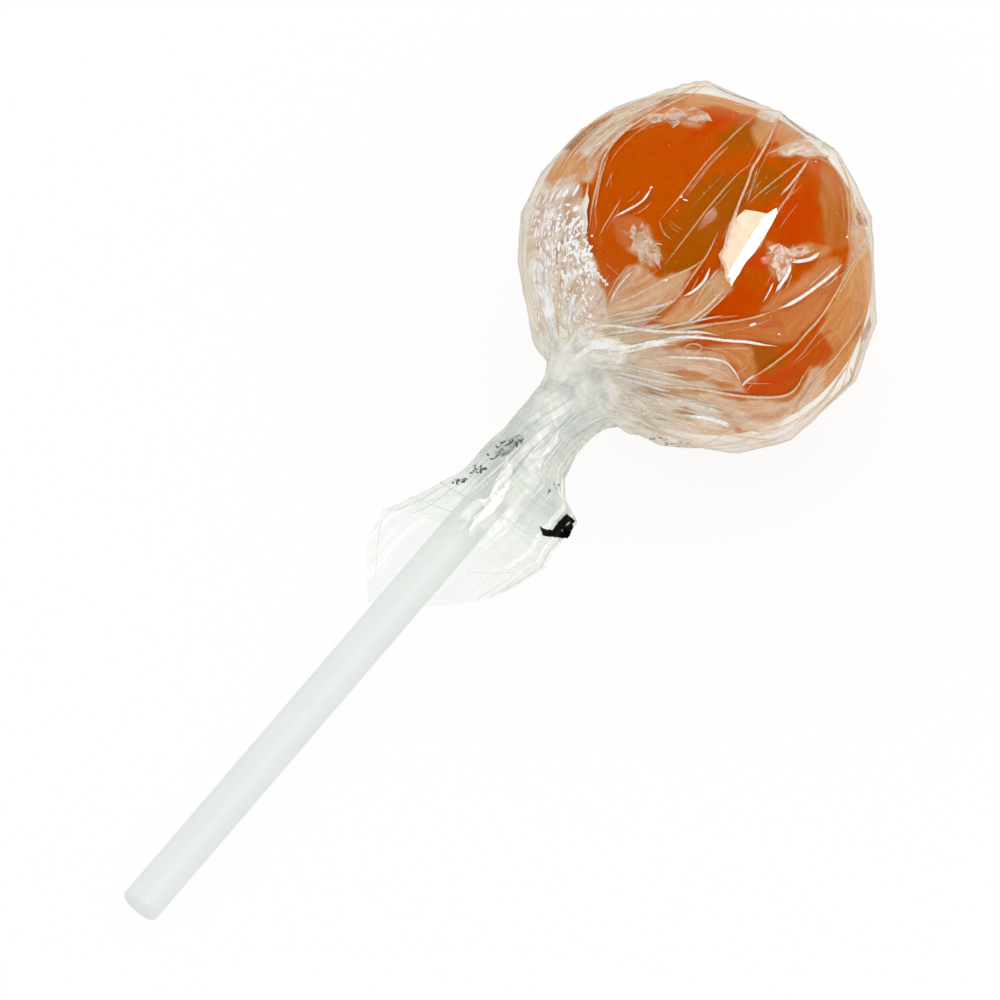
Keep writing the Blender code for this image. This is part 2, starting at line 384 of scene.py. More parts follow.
def candy_radius(way):
    """The candy's radius along unit vectors."""
    flat = np.hypot(way[..., 0], way[..., 1])
    ball = 1.0 / np.hypot(flat / CANDY_RADIUS, way[..., 2] / CANDY_POLE_RADIUS)
    turn = np.arctan2(-way[..., 1], way[..., 0])
    lump = np.sin(2.0 * turn + 0.7) * flat + np.sin(3.0 * turn - 1.1) * way[..., 2]
    return ball + 0.5 * CANDY_LUMP * lump - CANDY_SHIFT * way[..., 0]


def facet_planes():
    """Outward directions of the taut film's flat facets, and their distances."""
    chance = random.Random(FACET_SEED)
    normals = []
    reaches = []
    for index in range(FACETS):
        polar = math.acos(1.0 - (2.0 * index + 1.0) / FACETS)
        polar += chance.uniform(-FACET_JITTER, FACET_JITTER)
        turn = GOLDEN * index + chance.uniform(-FACET_JITTER, FACET_JITTER)
        way = ways(np.array(polar), np.array(turn))
        loose = ways(np.array(SLACK_POLAR), np.array(0.0))
        angle = math.acos(min(1.0, float(way @ loose)))
        lift = chance.uniform(0.0, FACET_LIFT) + SLACK_HEIGHT * math.exp(-(angle / SLACK_SPREAD) ** 2)
        normals.append(way)
        reaches.append(float(candy_radius(way)) + FILM_OVER + lift)
    return np.array(normals), np.array(reaches)


PLANE_NORMALS, PLANE_REACHES = facet_planes()


def facet_radius(way):
    """The taut film's radius along unit vectors."""
    facing = way @ PLANE_NORMALS.T
    reach = np.where(facing > FACET_FACING, PLANE_REACHES / np.maximum(facing, FACET_FACING), FAR)
    return reach.min(axis=-1)


print("facets", len(PLANE_NORMALS), "nearest", PLANE_REACHES.min().round(2), "furthest", PLANE_REACHES.max().round(2))

# %% [markdown]
# ## The film's outline and its milky panes
# Seen from the shown side the film's outline is a polygon with soft corners,
# given as angles, clockwise from the right, and radii. Inside it the film is
# divided by folds into panes. Each pane has a milkiness, from clear where the
# film lies on the candy to white where layers of it crowd. Later panes lie over
# earlier ones, so a small pane can be cut out of a large one.

# %% Outline and panes
def pairs(numbers):
    """Points x, y from numbers that are given one after another."""
    return tuple(zip(numbers[::2], numbers[1::2]))


def pointed(row):
    """A table's row with the numbers at its end made into points."""
    return (*row[:-1], pairs(row[-1]))


def all_pointed(table):
    """A table with every row pointed."""
    return {name: pointed(row) for name, row in table.items()}


OUTLINE = pairs((
    -88.0, 18.75, -62.0, 17.45, -40.0, 18.0, -16.5, 17.95, 17.4, 18.5, 36.4, 19.35, 62.5, 19.6, 79.0, 18.9,
    105.0, 18.1, 118.5, 18.3, 153.0, 18.35, 162.0, 18.0, 181.6, 18.05, 197.0, 18.6, 211.0, 18.6, 229.0, 18.4,
    243.0, 17.95, 258.0, 18.2, 272.0, 18.75,
))
OUTLINE_BAND = 15.0 * DEG
SIDE_STRETCH = 0.35
SIDE_PANE = 6.5
PANE_WOBBLE = 0.30
FINE_WOBBLE = 0.12
MILK_BORDER = 0.16
PALE_BORDER = 0.28
PANE_RAMP = 1.6
MILKY_RISE = 0.5
PALE_RISE = 0.12
FRONT_BLEND = 0.12  # the shown side passes into the rest over this much depth of a unit vector

# Each pane: its milkiness, how pale the candy is painted under it (a painted veil of reflected light), and its corners
# x, y on the shown face
PANES = all_pointed({
    "right_tan": (0.02, 0.28, (11.6, 10.4, 13.2, 9.6, 14.2, 7.0, 14.3, 2.0, 12.0, 1.0, 11.4, 6.0)),
    "right_low": (0.08, 0.85, (12.2, -4.4, 14.8, 0.8, 17.4, 3.0, 17.6, -4.0, 15.6, -9.6, 11.6, -13.4, 9.6, -14.6,
        10.4, -12.0, 13.0, -8.6, 11.4, -6.6)),
    "left_side": (0.58, 1.0, (-18.4, 7.0, -12.2, 8.2, -11.6, 5.5, -11.6, 2.2, -10.3, -1.0, -9.6, -3.8, -8.6, -6.2,
        -12.0, -8.0, -18.0, -8.0)),
    "print_side": (0.55, 1.0, (-15.8, 7.0, -12.2, 7.4, -11.6, 5.5, -11.6, 2.2, -11.3, 0.4, -15.6, -1.0, -16.4, 2.0)),
    "rim_crescent": (0.42, 0.9, (-17.9, 6.8, -15.9, 10.6, -13.8, 13.3, -9.0, 16.6, -3.0, 18.6, 0.8, 19.2, 0.4, 17.6,
        -1.5, 16.8, -4.2, 15.8, -6.6, 14.2, -8.2, 12.9, -9.5, 11.4, -10.3, 9.8, -11.0, 8.0, -12.8, 8.2, -15.0, 7.4)),
    "crescent_tan": (0.2, 0.9, (-15.8, 8.0, -13.0, 8.6, -11.4, 9.2, -11.0, 10.4, -12.6, 11.0, -14.4, 10.4)),
    "crescent_gap": (0.03, 0.55, (-13.8, 11.4, -13.2, 12.5, -11.6, 13.7, -8.9, 15.2, -8.6, 14.8, -10.5, 13.2,
        -12.0, 11.7, -13.1, 11.2)),
    "top_band": (0.15, 0.9, (-0.5, 17.1, 1.0, 17.0, 3.0, 16.1, 5.9, 15.5, 4.5, 14.9, 2.0, 15.6, -0.4, 15.4,
        -3.4, 16.0)),
    "top_crackle": (0.12, 0.65, (-5.2, 14.9, -2.0, 16.2, -0.6, 15.6, 0.4, 14.4, -0.4, 13.4, -1.6, 13.6, -3.3, 14.2,
        -6.8, 13.3)),
    "crackle_ring": (0.05, 0.22, (-8.8, 4.3, -7.4, 4.7, -6.2, 4.4, -5.4, 3.2, -6.9, 2.6, -7.4, 1.0, -8.6, 2.2)),
    "crackle": (0.24, 0.9, (-6.9, 2.7, -6.3, 3.0, -5.6, 3.6, -5.2, 2.6, -4.5, 1.9, -4.2, 0.4, -4.8, 0.2, -4.9, -0.7,
        -5.6, -0.2, -6.4, -0.3, -6.5, 0.6, -7.6, 1.3, -6.9, 1.7)),
    "middle": (0.28, 1.0, (-9.6, -4.6, -7.5, -0.4, -6.5, 0.0, -4.4, -1.6, -1.4, -0.6, -2.4, -3.2, -5.0, -5.3,
        -6.4, -6.6, -9.0, -6.4)),
    "small": (0.2, 1.0, (-4.6, -5.9, -2.2, -3.6, -0.5, -2.9, 1.3, -0.8, 2.1, -0.9, 2.5, -2.6, 0.0, -5.0, -1.4, -6.2)),
    "speckled": (0.08, 0.7, (6.1, 2.0, 8.0, 1.5, 10.4, 2.0, 12.4, 1.6, 11.4, 0.6, 9.4, 0.4, 8.3, -0.5, 8.0, -1.6,
        6.6, -1.4, 6.3, 0.4)),
    "above_arc": (0.06, 0.5, (13.2, 0.6, 11.6, 0.4, 9.4, -1.4, 7.0, -3.2, 5.6, -4.6, 7.4, -4.6, 10.4, -2.9,
        13.2, -0.6)),
    "long": (0.04, 0.42, (-1.6, -6.4, 4.5, -5.6, 8.5, -4.2, 12.9, -1.3, 13.8, -1.6, 11.8, -4.8, 10.0, -6.4, 9.0, -7.6,
        7.1, -7.8, 1.0, -7.4)),
    "under_fold": (0.06, 0.7, (0.4, -8.0, 4.8, -8.0, 4.9, -9.2, 5.2, -11.2, 3.9, -11.8, 2.9, -10.2, 1.6, -9.2)),
    "low_strip": (0.34, 0.9, (-8.8, -8.6, -2.0, -8.2, 2.0, -8.9, 3.6, -11.6, 4.2, -12.6, -1.0, -12.0, -6.0, -11.8,
        -9.0, -12.4)),
    "low_amber": (0.04, 0.5, (-3.6, -10.2, -1.9, -10.0, 0.4, -10.7, -0.6, -11.2, -2.6, -11.0)),
    "low_amber_right": (0.04, 0.5, (0.7, -11.1, 2.0, -11.4, 3.4, -12.0, 1.6, -12.0)),
    "low_glow": (0.0, 0.0, (4.0, -12.5, 6.2, -11.4, 8.0, -10.2, 8.8, -8.6, 10.4, -7.4, 12.4, -6.6, 10.6, -8.4,
        9.8, -10.2, 9.0, -11.8, 7.4, -12.5)),
    "bottom": (0.34, 0.9, (-3.5, -12.4, 0.0, -12.5, 5.0, -13.1, 8.6, -12.9, 9.6, -12.0, 10.6, -10.2, 12.2, -9.8,
        11.5, -11.8, 9.4, -15.2, 6.8, -16.3, 4.0, -16.2, 2.0, -14.6, -1.0, -13.4)),
    "bottom_rows": (0.46, 0.9, (-5.0, -12.4, -1.0, -13.4, 2.0, -14.6, 4.0, -16.1, 7.0, -16.4, 9.4, -15.2, 11.8, -14.2,
        8.0, -18.6, 0.0, -18.8, -6.5, -17.4, -8.5, -14.4, -7.4, -12.6)),
    "row_amber_a": (0.08, 0.4, (-2.8, -14.0, -1.6, -13.8, -0.4, -14.3, -1.2, -14.9, -2.4, -14.7)),
    "row_amber_b": (0.08, 0.4, (-2.6, -16.2, -1.4, -16.3, -0.4, -16.9, -1.6, -17.1)),
    "row_amber_c": (0.1, 0.5, (-6.9, -15.3, -5.9, -15.5, -5.3, -16.2, -6.6, -16.1)),
    "neck_streaks": (0.26, 0.9, (-11.0, -6.0, -6.0, -6.3, -2.5, -6.5, -0.2, -7.1, -3.0, -7.9, -6.0, -8.8,
        -8.0, -8.0)),
    "neck_glow": (0.74, 1.0, (-13.5, -5.9, -11.2, -6.0, -9.4, -6.8, -7.4, -7.9, -7.6, -9.4, -8.2, -10.8, -9.0, -13.6,
        -14.0, -12.0, -17.0, -8.0)),
    "corner_cap": (0.5, 1.0, (5.2, 14.6, 5.9, 15.5, 8.0, 15.9, 7.2, 13.6, 6.4, 13.8)),
    "corner_low": (0.12, 0.7, (4.7, 13.4, 5.6, 14.2, 7.0, 13.5, 6.0, 11.3, 5.2, 11.7)),
    "corner_right": (0.1, 0.6, (7.3, 13.8, 8.4, 14.4, 11.0, 12.6, 9.0, 12.1, 7.6, 11.6, 6.8, 12.2)),
    "cap": (0.52, 1.0, (6.6, 10.7, 8.3, 11.8, 10.0, 12.4, 12.2, 12.8, 13.0, 12.2, 13.6, 11.2, 12.2, 10.7, 10.5, 10.6,
        8.5, 10.7)),
    "right_rim": (0.34, 0.9, (13.3, 11.6, 14.8, 9.8, 16.4, 7.4, 17.4, 4.0, 17.0, 2.0, 15.0, 0.6, 14.2, -0.6,
        13.4, -1.6, 14.5, 1.4, 14.6, 4.0, 14.3, 7.0, 13.4, 9.4, 12.4, 10.5)),
    "right_gap": (0.05, 0.8, (15.5, 5.9, 16.7, 4.3, 15.6, 4.0, 15.1, 5.0)),
})

# Panes that are quite flat: they mirror the window as one bright shape
FLAT_PANES = all_pointed({
    "window_pane": (0.16, (3.9, 5.15, 5.3, 4.95, 6.1, 4.77, 7.0, 5.35, 7.05, 4.85, 6.3, 3.4, 4.8, 1.0, 3.9, 0.0,
        3.3, -1.1, 2.55, -2.3, 2.0, -1.6, 1.9, -0.8, 1.3, 0.7, 2.0, 1.8, 2.5, 3.2, 3.1, 4.4)),
})
WINDOW_GLARE = pairs((
    6.0, 4.7, 7.0, 5.35, 7.05, 4.85, 6.3, 3.4, 4.8, 1.0, 3.9, 0.0, 3.3, -1.1, 2.55, -2.3, 2.2, -1.4, 2.7, -0.2,
    3.4, 0.8, 4.4, 2.4,
))


def outline_radius(angle):
    """The polygon's radius at angles in degrees, clockwise from the right."""
    low = OUTLINE[0][0]
    angle = (angle - low) % 360.0 + low
    radius = np.zeros_like(angle)
    for (start, first), (stop, last) in zip(OUTLINE, OUTLINE[1:]):
        inside = (angle >= start) & (angle <= stop)
        reach = first * last * math.sin((stop - start) * DEG)
        chord = first * np.sin((angle - start) * DEG) + last * np.sin((stop - angle) * DEG)
        radius = np.where(inside, reach / np.where(inside, chord, 1.0), radius)
    return radius


def depth_inside(face, corners):
    """How far points on the shown face are inside a polygon, in millimetres."""
    nearest = np.full(face.shape[:-1], 1e9)
    inside = np.zeros(face.shape[:-1], dtype=bool)
    for (ax, ay), (bx, by) in zip(corners, corners[1:] + corners[:1]):
        ox = face[..., 0] - ax
        oy = face[..., 1] - ay
        dx = bx - ax
        dy = by - ay
        along = np.clip((ox * dx + oy * dy) / (dx * dx + dy * dy), 0.0, 1.0)
        nearest = np.minimum(nearest, np.hypot(ox - along * dx, oy - along * dy))
        crosses = (ay > face[..., 1]) != (by > face[..., 1])
        limit = ax + dx * (face[..., 1] - ay) / (dy if dy else 1e-9)
        inside ^= crosses & (face[..., 0] < limit)
    return np.where(inside, nearest, -nearest)


def pane_values(points):
    """The film's milkiness, and the candy's paleness, at points near the shown side."""
    face = on_face(points)
    wobble = PANE_WOBBLE * rough(points, 1.4, 2) + FINE_WOBBLE * rough(points, 0.5, 12)
    values = np.zeros(points.shape[:-1] + (2,))
    for milk, pale, corners in PANES.values():
        depth = depth_inside(face, corners) + wobble
        share = np.stack([smooth_step(-border, border, depth) for border in (MILK_BORDER, PALE_BORDER)], -1)
        values = values + share * (np.array((milk, pale)) - values)
    return values


def lift_on_face(points):
    """How far the film stands off the candy there: panes rise gently from their borders."""
    face = on_face(points)
    lift = np.zeros(points.shape[:-1])
    for milk, pale, corners in PANES.values():
        share = smooth_step(-0.1, PANE_RAMP, depth_inside(face, corners))
        lift = lift + share * (MILKY_RISE * milk + PALE_RISE * (pale > 0.8) - lift)
    return lift


def values_by_rule(way):
    """The same two values on the sides and the back: long irregular panes, paler near the neck."""
    points = way * CANDY_RADIUS
    bent = points + 1.6 * rough(points, 6.0, 1)[..., None]
    drawn = bent * np.array((1.0, 1.0, SIDE_STRETCH))
    polar = np.arccos(np.clip(way[..., 2], -1.0, 1.0))
    near_neck = smooth_step(75.0 * DEG, 140.0 * DEG, polar)
    away = smooth_step(-0.05, 0.30, rough(drawn, SIDE_PANE, 15) + 0.75 * near_neck)
    milk = 0.30 * away * smooth_step(-0.5, 0.5, rough(drawn, 1.8, 16)) + 0.35 * near_neck ** 2
    return np.stack((milk, away), -1)


def film_values(way):
    """Milkiness and paleness all round, blended from the shown face to the rest."""
    front = smooth_step(-FRONT_BLEND, FRONT_BLEND, (way @ SHOWN.T)[..., 2])[..., None]
    return front * pane_values(way * candy_radius(way)[..., None]) + (1.0 - front) * values_by_rule(way)


print("outline corners", len(OUTLINE), "panes", len(PANES) + len(FLAT_PANES))

# %% [markdown]
# ## Creases
# The panes are parted by creases. Each crease is a short chain of points on the
# shown face. It lifts the sheet in a low ridge that is steep on one side, and a
# thin thread of doubled film runs along its top, which looks like a pale line.
# The milkiest threads are opaque white: painted highlights.

# %% Creases
# Each crease: its rise, its width, its milkiness and its points x, y; a milkiness near 1 makes an opaque white line, a
# painted highlight
CREASES = all_pointed({
    "rim_inner": (0.3, 0.3, 0.5, (-11.2, 3.6, -10.9, 6.0, -10.3, 8.2, -10.0, 10.0, -9.1, 11.6, -7.8, 13.0, -5.6, 14.6,
        -3.0, 16.0, -0.6, 17.1, 0.6, 18.2)),
    "rim_second": (0.0, 0.22, 0.42, (-10.7, 5.0, -10.4, 7.0, -9.9, 9.2, -9.3, 10.8)),
    "rim_low": (0.2, 0.3, 0.6, (-11.6, 2.4, -11.6, 4.4, -12.0, 5.4, -11.5, 6.6, -11.2, 8.2)),
    "rim_outer": (0.15, 0.26, 0.5, (-14.4, 8.4, -12.8, 11.4, -10.8, 13.2, -8.2, 15.0, -5.0, 16.6, -2.6, 17.2)),
    "hook": (0.2, 0.26, 0.95, (-8.8, 4.5, -7.6, 5.1, -6.3, 5.8, -5.7, 6.4, -5.2, 7.3)),
    "hook_side": (0.1, 0.17, 0.5, (-10.3, 2.6, -9.6, 3.9, -8.9, 5.0, -8.1, 6.3)),
    "mid_a": (0.22, 0.24, 0.36, (-4.3, 4.2, -3.0, 5.7, -1.9, 7.1, -0.9, 8.4, 0.2, 9.9, 2.2, 11.9, 3.6, 13.3,
        5.2, 14.7, 5.8, 15.2)),
    "mid_b": (0.18, 0.22, 0.32, (-4.0, -0.3, -2.2, 2.0, -0.9, 3.7, 0.2, 5.2, 2.7, 8.1, 3.7, 9.1, 4.9, 9.9)),
    "mid_turn": (0.0, 0.18, 0.3, (-4.4, 4.2, -4.3, 3.4, -3.8, 2.6, -3.2, 2.2)),
    "steep": (0.4, 0.3, 0.55, (7.8, 15.2, 7.1, 13.8, 6.5, 12.4, 5.8, 11.1, 5.1, 9.9, 4.6, 9.2, 4.3, 8.0, 3.7, 6.7,
        3.1, 5.2, 2.4, 3.4, 1.9, 1.7, 1.4, 0.3)),
    "steep_twin": (0.0, 0.22, 0.4, (5.2, 9.4, 4.9, 8.3, 4.5, 7.0, 4.1, 5.9)),
    "cap_edge": (0.35, 0.24, 0.45, (5.9, 10.6, 7.0, 11.1, 8.4, 11.9, 9.6, 12.4, 10.8, 12.6)),
    "upper_right": (0.22, 0.22, 0.36, (4.3, 5.8, 5.6, 7.0, 7.2, 8.3, 8.8, 9.6, 10.1, 10.4)),
    "tip_a": (0.18, 0.34, 0.6, (7.4, 6.6, 8.3, 7.5, 9.2, 8.6, 9.9, 9.6, 10.4, 10.4)),
    "tip_b": (0.25, 0.22, 0.42, (5.0, 0.9, 6.0, 3.0, 7.1, 5.0, 8.0, 6.2, 8.9, 7.7, 9.4, 8.6)),
    "right_arc": (0.3, 0.3, 0.42, (10.6, 10.6, 12.0, 10.4, 13.2, 9.6, 14.0, 8.2, 14.3, 6.5, 14.4, 4.5, 14.2, 2.9,
        14.3, 1.6)),
    "right_outer": (0.15, 0.26, 0.5, (13.2, 11.2, 14.2, 9.4, 14.7, 7.6, 15.0, 5.8, 15.2, 4.6)),
    "right_short": (0.0, 0.22, 0.45, (15.2, 6.8, 15.6, 5.6, 16.4, 4.4)),
    "left_of_window": (0.2, 0.24, 0.45, (-6.2, -6.0, -4.6, -5.0, -3.4, -4.0, -2.4, -3.1, -1.6, -1.9, -0.6, -0.4,
        0.2, 0.6, 1.3, 3.0)),
    "window_side": (0.15, 0.26, 0.6, (1.5, 0.4, 2.2, 1.8, 2.5, 3.0, 2.9, 4.4, 3.4, 5.6)),
    "window_rim": (0.0, 0.22, 0.62, (2.0, 0.2, 2.3, -0.8, 2.5, -2.5)),
    "streak_a": (0.22, 0.34, 0.98, (-2.1, -3.3, -1.2, -2.9, -0.4, -2.2, 0.1, -1.6, 0.5, -0.5)),
    "streak_b": (0.1, 0.22, 0.55, (-1.2, -4.3, -0.4, -2.9, 0.3, -1.9, 0.9, -1.1, 1.5, -0.5)),
    "band_a": (0.25, 0.26, 0.7, (-2.0, -6.0, -0.4, -4.9, 0.6, -4.0, 1.4, -3.1, 2.0, -2.7)),
    "band_b": (0.0, 0.22, 0.6, (-1.6, -6.2, 0.0, -5.1, 1.0, -4.2, 1.8, -3.4, 2.3, -2.9)),
    "across": (0.22, 0.24, 0.55, (-9.6, -4.2, -7.3, -3.5, -5.6, -2.6, -4.0, -1.7, -2.6, -1.1, -1.3, -0.6, 0.0, 0.4)),
    "left_pair_a": (0.15, 0.22, 0.45, (-9.9, -4.4, -9.1, -2.6, -8.3, -1.3, -7.5, -0.2)),
    "left_pair_b": (0.15, 0.26, 0.7, (-9.3, -4.1, -8.6, -2.6, -7.8, -1.6, -6.9, -0.7)),
    "dots_edge": (0.0, 0.3, 0.8, (-12.0, 0.6, -11.2, -0.2, -10.5, -0.9, -9.8, -1.7, -9.3, -2.3)),
    "zigzag_a": (0.25, 0.44, 1.0, (11.3, 1.1, 10.5, 0.4, 9.2, 0.15, 8.5, 0.1)),
    "zigzag_b": (0.15, 0.42, 1.0, (8.4, 0.0, 8.2, -1.0, 7.4, -2.1, 6.9, -2.9)),
    "zigzag_c": (0.1, 0.22, 0.85, (6.7, -1.9, 6.2, -3.0, 5.7, -3.8)),
    "arc_bright": (0.35, 0.42, 1.0, (13.6, 0.0, 12.4, -1.2, 11.2, -2.1, 10.0, -3.0, 8.6, -3.9, 7.2, -4.5)),
    "arc": (0.3, 0.24, 0.45, (7.2, -4.5, 5.4, -5.2, 3.6, -5.6, 1.6, -5.9, -0.5, -6.1, -3.0, -6.6)),
    "arc_twin": (0.0, 0.22, 0.5, (13.2, -1.0, 12.5, -1.8, 11.9, -2.2)),
    "long_right": (0.35, 0.28, 0.5, (3.7, -12.0, 5.0, -11.0, 6.4, -10.1, 7.6, -9.2, 8.9, -8.2, 10.0, -6.8, 11.2, -5.6,
        12.3, -4.0, 13.2, -2.5, 14.0, -1.0, 14.9, 0.4, 15.8, 1.8, 16.6, 3.0)),
    "long_right_twin": (0.0, 0.26, 0.42, (12.8, -3.6, 13.8, -2.2, 14.6, -0.6, 15.6, 1.0, 16.6, 2.2)),
    "vee_left": (0.25, 0.26, 0.85, (3.7, -12.0, 3.4, -11.2, 2.8, -10.3, 2.1, -9.6, 0.6, -9.3, -2.0, -9.2,
        -4.6, -9.1)),
    "vee_right": (0.0, 0.26, 0.9, (3.7, -12.0, 4.3, -11.3, 5.0, -10.9)),
    # The white folds at the neck: opaque white threads, painted highlights
    "highlight_fold": (0.55, 0.36, 1.0, (-12.4, -8.4, -10.8, -7.4, -9.6, -7.6, -8.2, -8.1, -7.2, -8.2, -5.6, -7.8,
        -4.0, -7.4)),
    "highlight_tail": (0.45, 0.34, 0.95, (-4.2, -7.4, -2.2, -7.2, 0.0, -7.3, 2.0, -7.6, 4.2, -7.7, 5.8, -8.0, 7.1, -8.1)),
    "white_above": (0.3, 0.36, 0.85, (-11.8, -6.6, -9.8, -6.0, -8.6, -6.1, -6.2, -6.5, -3.4, -6.8, -0.4, -6.7,
        1.4, -7.1)),
    "white_below": (0.2, 0.36, 0.85, (-10.4, -8.8, -8.6, -8.8, -7.0, -8.5, -5.0, -8.0, -3.0, -7.9)),
    "low_first": (0.35, 0.28, 0.55, (-7.5, -9.6, -5.7, -10.0, -2.0, -9.9, 0.5, -10.2, 2.2, -10.8, 3.3, -11.7)),
    "low_hook": (0.1, 0.24, 0.45, (-2.0, -8.7, -1.8, -8.0, -1.0, -7.8, 0.0, -8.2, -0.8, -8.7, -1.8, -8.8)),
    "low_rim": (0.45, 0.34, 0.6, (-8.0, -9.8, -6.9, -10.5, -5.5, -11.4, -4.2, -12.0, -2.0, -12.1, 0.0, -12.3,
        2.0, -12.7, 4.0, -13.0, 6.5, -13.1, 8.2, -12.9, 9.2, -12.2, 9.8, -11.0, 10.6, -9.8)),
    "low_second": (0.3, 0.28, 0.5, (-7.2, -11.0, -5.6, -12.2, -4.8, -13.2, -3.6, -14.3, -2.2, -15.0, 0.0, -15.6,
        3.0, -16.2)),
    "low_third": (0.3, 0.3, 0.55, (-9.0, -11.4, -6.8, -12.8, -4.8, -14.2, -3.5, -14.9, -2.0, -15.6, 0.5, -16.3,
        3.0, -16.8, 5.5, -17.1, 7.5, -17.2)),
    "low_fourth": (0.2, 0.26, 0.55, (-8.6, -13.2, -6.4, -14.8, -4.6, -16.0, -3.3, -16.7, -1.5, -17.2)),
    "low_bright": (0.25, 0.46, 0.98, (-1.6, -14.8, 0.2, -15.0, 1.8, -15.3, 2.8, -15.8)),
    "low_bright_end": (0.1, 0.32, 0.95, (4.6, -16.3, 5.8, -16.5)),
    "low_ridge": (0.2, 0.24, 0.5, (-3.0, -13.4, -1.0, -13.7, 1.0, -14.4, 2.2, -15.0, 3.3, -15.7, 4.4, -16.2,
        6.4, -16.4, 8.2, -15.8, 9.4, -15.1)),
    "corner_a": (0.2, 0.3, 0.45, (9.4, -14.8, 10.0, -13.6, 11.0, -11.8, 12.2, -10.2, 13.6, -8.4, 14.8, -6.8,
        15.8, -5.2, 16.4, -3.6)),
    "corner_b": (0.1, 0.26, 0.4, (9.6, -12.8, 10.6, -11.4, 11.6, -10.4, 13.0, -9.2, 14.0, -7.8)),
    "corner_c": (0.1, 0.26, 0.45, (9.0, -15.8, 11.0, -14.4, 12.6, -12.6, 14.2, -10.2, 15.2, -8.0)),
    "right_side": (0.1, 0.24, 0.35, (15.4, 0.2, 15.9, -0.8, 16.2, -2.4, 16.4, -4.0)),
    "left_strand": (0.3, 0.6, 0.55, (-13.8, 1.6, -14.0, 0.0, -14.2, -2.0, -14.4, -4.5, -14.2, -7.0)),
    "left_strand_b": (0.15, 0.34, 0.55, (-12.2, -1.6, -13.0, -3.2, -13.4, -4.8, -13.2, -7.0)),
    "left_fan_a": (0.2, 0.3, 0.6, (-9.9, -3.0, -10.8, -4.2, -11.8, -5.2, -12.8, -6.6, -13.6, -8.0)),
    "left_fan_b": (0.15, 0.26, 0.6, (-16.4, 0.0, -16.2, -2.6, -15.6, -5.2, -14.8, -7.6)),
    "top_fold": (0.25, 0.26, 0.5, (-4.4, 16.2, -2.6, 16.8, -1.0, 17.6, 0.2, 18.3)),
    "top_second": (0.1, 0.24, 0.4, (-1.6, 16.6, 0.0, 16.9, 2.0, 16.5, 3.2, 15.9, 5.9, 15.4, 7.8, 15.4)),
    "amber_edge": (0.0, 0.2, 0.3, (-7.6, 13.0, -6.2, 13.6, -5.0, 14.2, -4.0, 14.6)),
})
RIDGE_STEEP = 0.28
RIDGE_GENTLE = 1.3


def chain_distance(face, chain):
    """The signed distance from points on the shown face to a chain of points, and
    how far along it they are, from 0 to 1."""
    best = np.full(face.shape[:-1], 1e9)
    side = np.zeros_like(best)
    share = np.zeros_like(best)
    count = len(chain) - 1
    for index, (start, stop) in enumerate(zip(chain, chain[1:])):
        dx = stop[0] - start[0]
        dy = stop[1] - start[1]
        length = math.hypot(dx, dy)
        ox = face[..., 0] - start[0]
        oy = face[..., 1] - start[1]
        along = np.clip((ox * dx + oy * dy) / length ** 2, 0.0, 1.0)
        distance = np.hypot(ox - along * dx, oy - along * dy)
        cross = (dx * oy - dy * ox) / length
        nearer = distance < best
        best = np.where(nearer, distance, best)
        side = np.where(nearer, np.sign(cross), side)
        share = np.where(nearer, (index + along) / count, share)
    return best * side, share


def rounded_chain(chain, rounds=2):
    """A chain with its corners cut, so that a fold bends softly."""
    points = [np.array(point, dtype=float) for point in chain]
    for _ in range(rounds):
        cut = [points[0]]
        for start, stop in zip(points, points[1:]):
            cut.append(0.75 * start + 0.25 * stop)
            cut.append(0.25 * start + 0.75 * stop)
        cut.append(points[-1])
        points = cut
    return [tuple(point) for point in points]


def crease_height(points):
    """How far the creases lift the sheet at points near the shown side of the ball."""
    face = on_face(points)
    height = np.zeros(points.shape[:-1])
    for rise, _, _, chain in CREASES.values():
        if rise > 0.0:
            distance, share = chain_distance(face, chain)
            reach = np.where(distance > 0.0, RIDGE_STEEP, RIDGE_GENTLE)
            slope = np.clip(1.0 - np.abs(distance) / reach, 0.0, 1.0)
            ends = np.clip(share * 9.0, 0.0, 1.0) * np.clip((1.0 - share) * 7.0, 0.0, 1.0)
            height = np.maximum(height, rise * slope ** 1.4 * (0.2 + 0.8 * ends))
    return height * (face[..., 2] > -2.0)


print("creases", len(CREASES))

# %% [markdown]
# ## Pleats, and the rings below the ball
# One sheet of clear film covers the ball from the far pole, gathers round the
# stick at the neck and opens again into a loose skirt. Its pleats start thin on
# the ball and crowd at the neck, where they are twisted. Below the ball a table
# of sections says how wide and how deep the sheet is at each level.

# %% Pleats and sections of the film
PLEATS = 22
PLEAT_SEED = 5
PLEAT_JITTER = 0.28
PLEAT_STEPS = 16
STEEP_SHARE = 0.14  # of a pleat's width, on its steep side
COLUMNS = PLEATS * PLEAT_STEPS
BALL_PLEAT = 0.50
NECK_PLEAT = 0.30
SKIRT_PLEAT = 0.32
PLEAT_GROWS_OVER = 45.0 * DEG
NECK_TWIST = 38.0 * DEG
FOOT_CALM = 24.0 * DEG
BALL_LAST_POLAR = 159.0 * DEG
BALL_ROWS = 150
NECK_ROWS = 34
SKIRT_ROWS = 60
NECK_TOP = 17.7
SKIRT_TOP = 27.2
OUTLINE_FADES = (158.0 * DEG, 148.0 * DEG)  # polar angles between which the outline takes hold
SHY_FADES = (152.0 * DEG, 140.0 * DEG)  # and the pleats on the shown side give way to the creases
SHY = 0.85
# Crowding and milkiness: at the neck, and for the skirt its least and how much more it has at its top
BALL_CROWD = 0.75
NECK_MILK = 0.5
SKIRT_CROWD = (0.10, 0.65)
SKIRT_MILK = (0.07, 0.43)
COOL_ROWS = (BALL_ROWS - 16, BALL_ROWS + 6)  # from warm on the ball to cool white at the neck
TAUT_CLEAR = 0.22
OUTLINE_CLEAR = 0.1
EASE_ROUNDS = 14  # the ball's last rows and the neck's first ones are eased together
EASE_ABOVE = 12
EASE_BELOW = 10

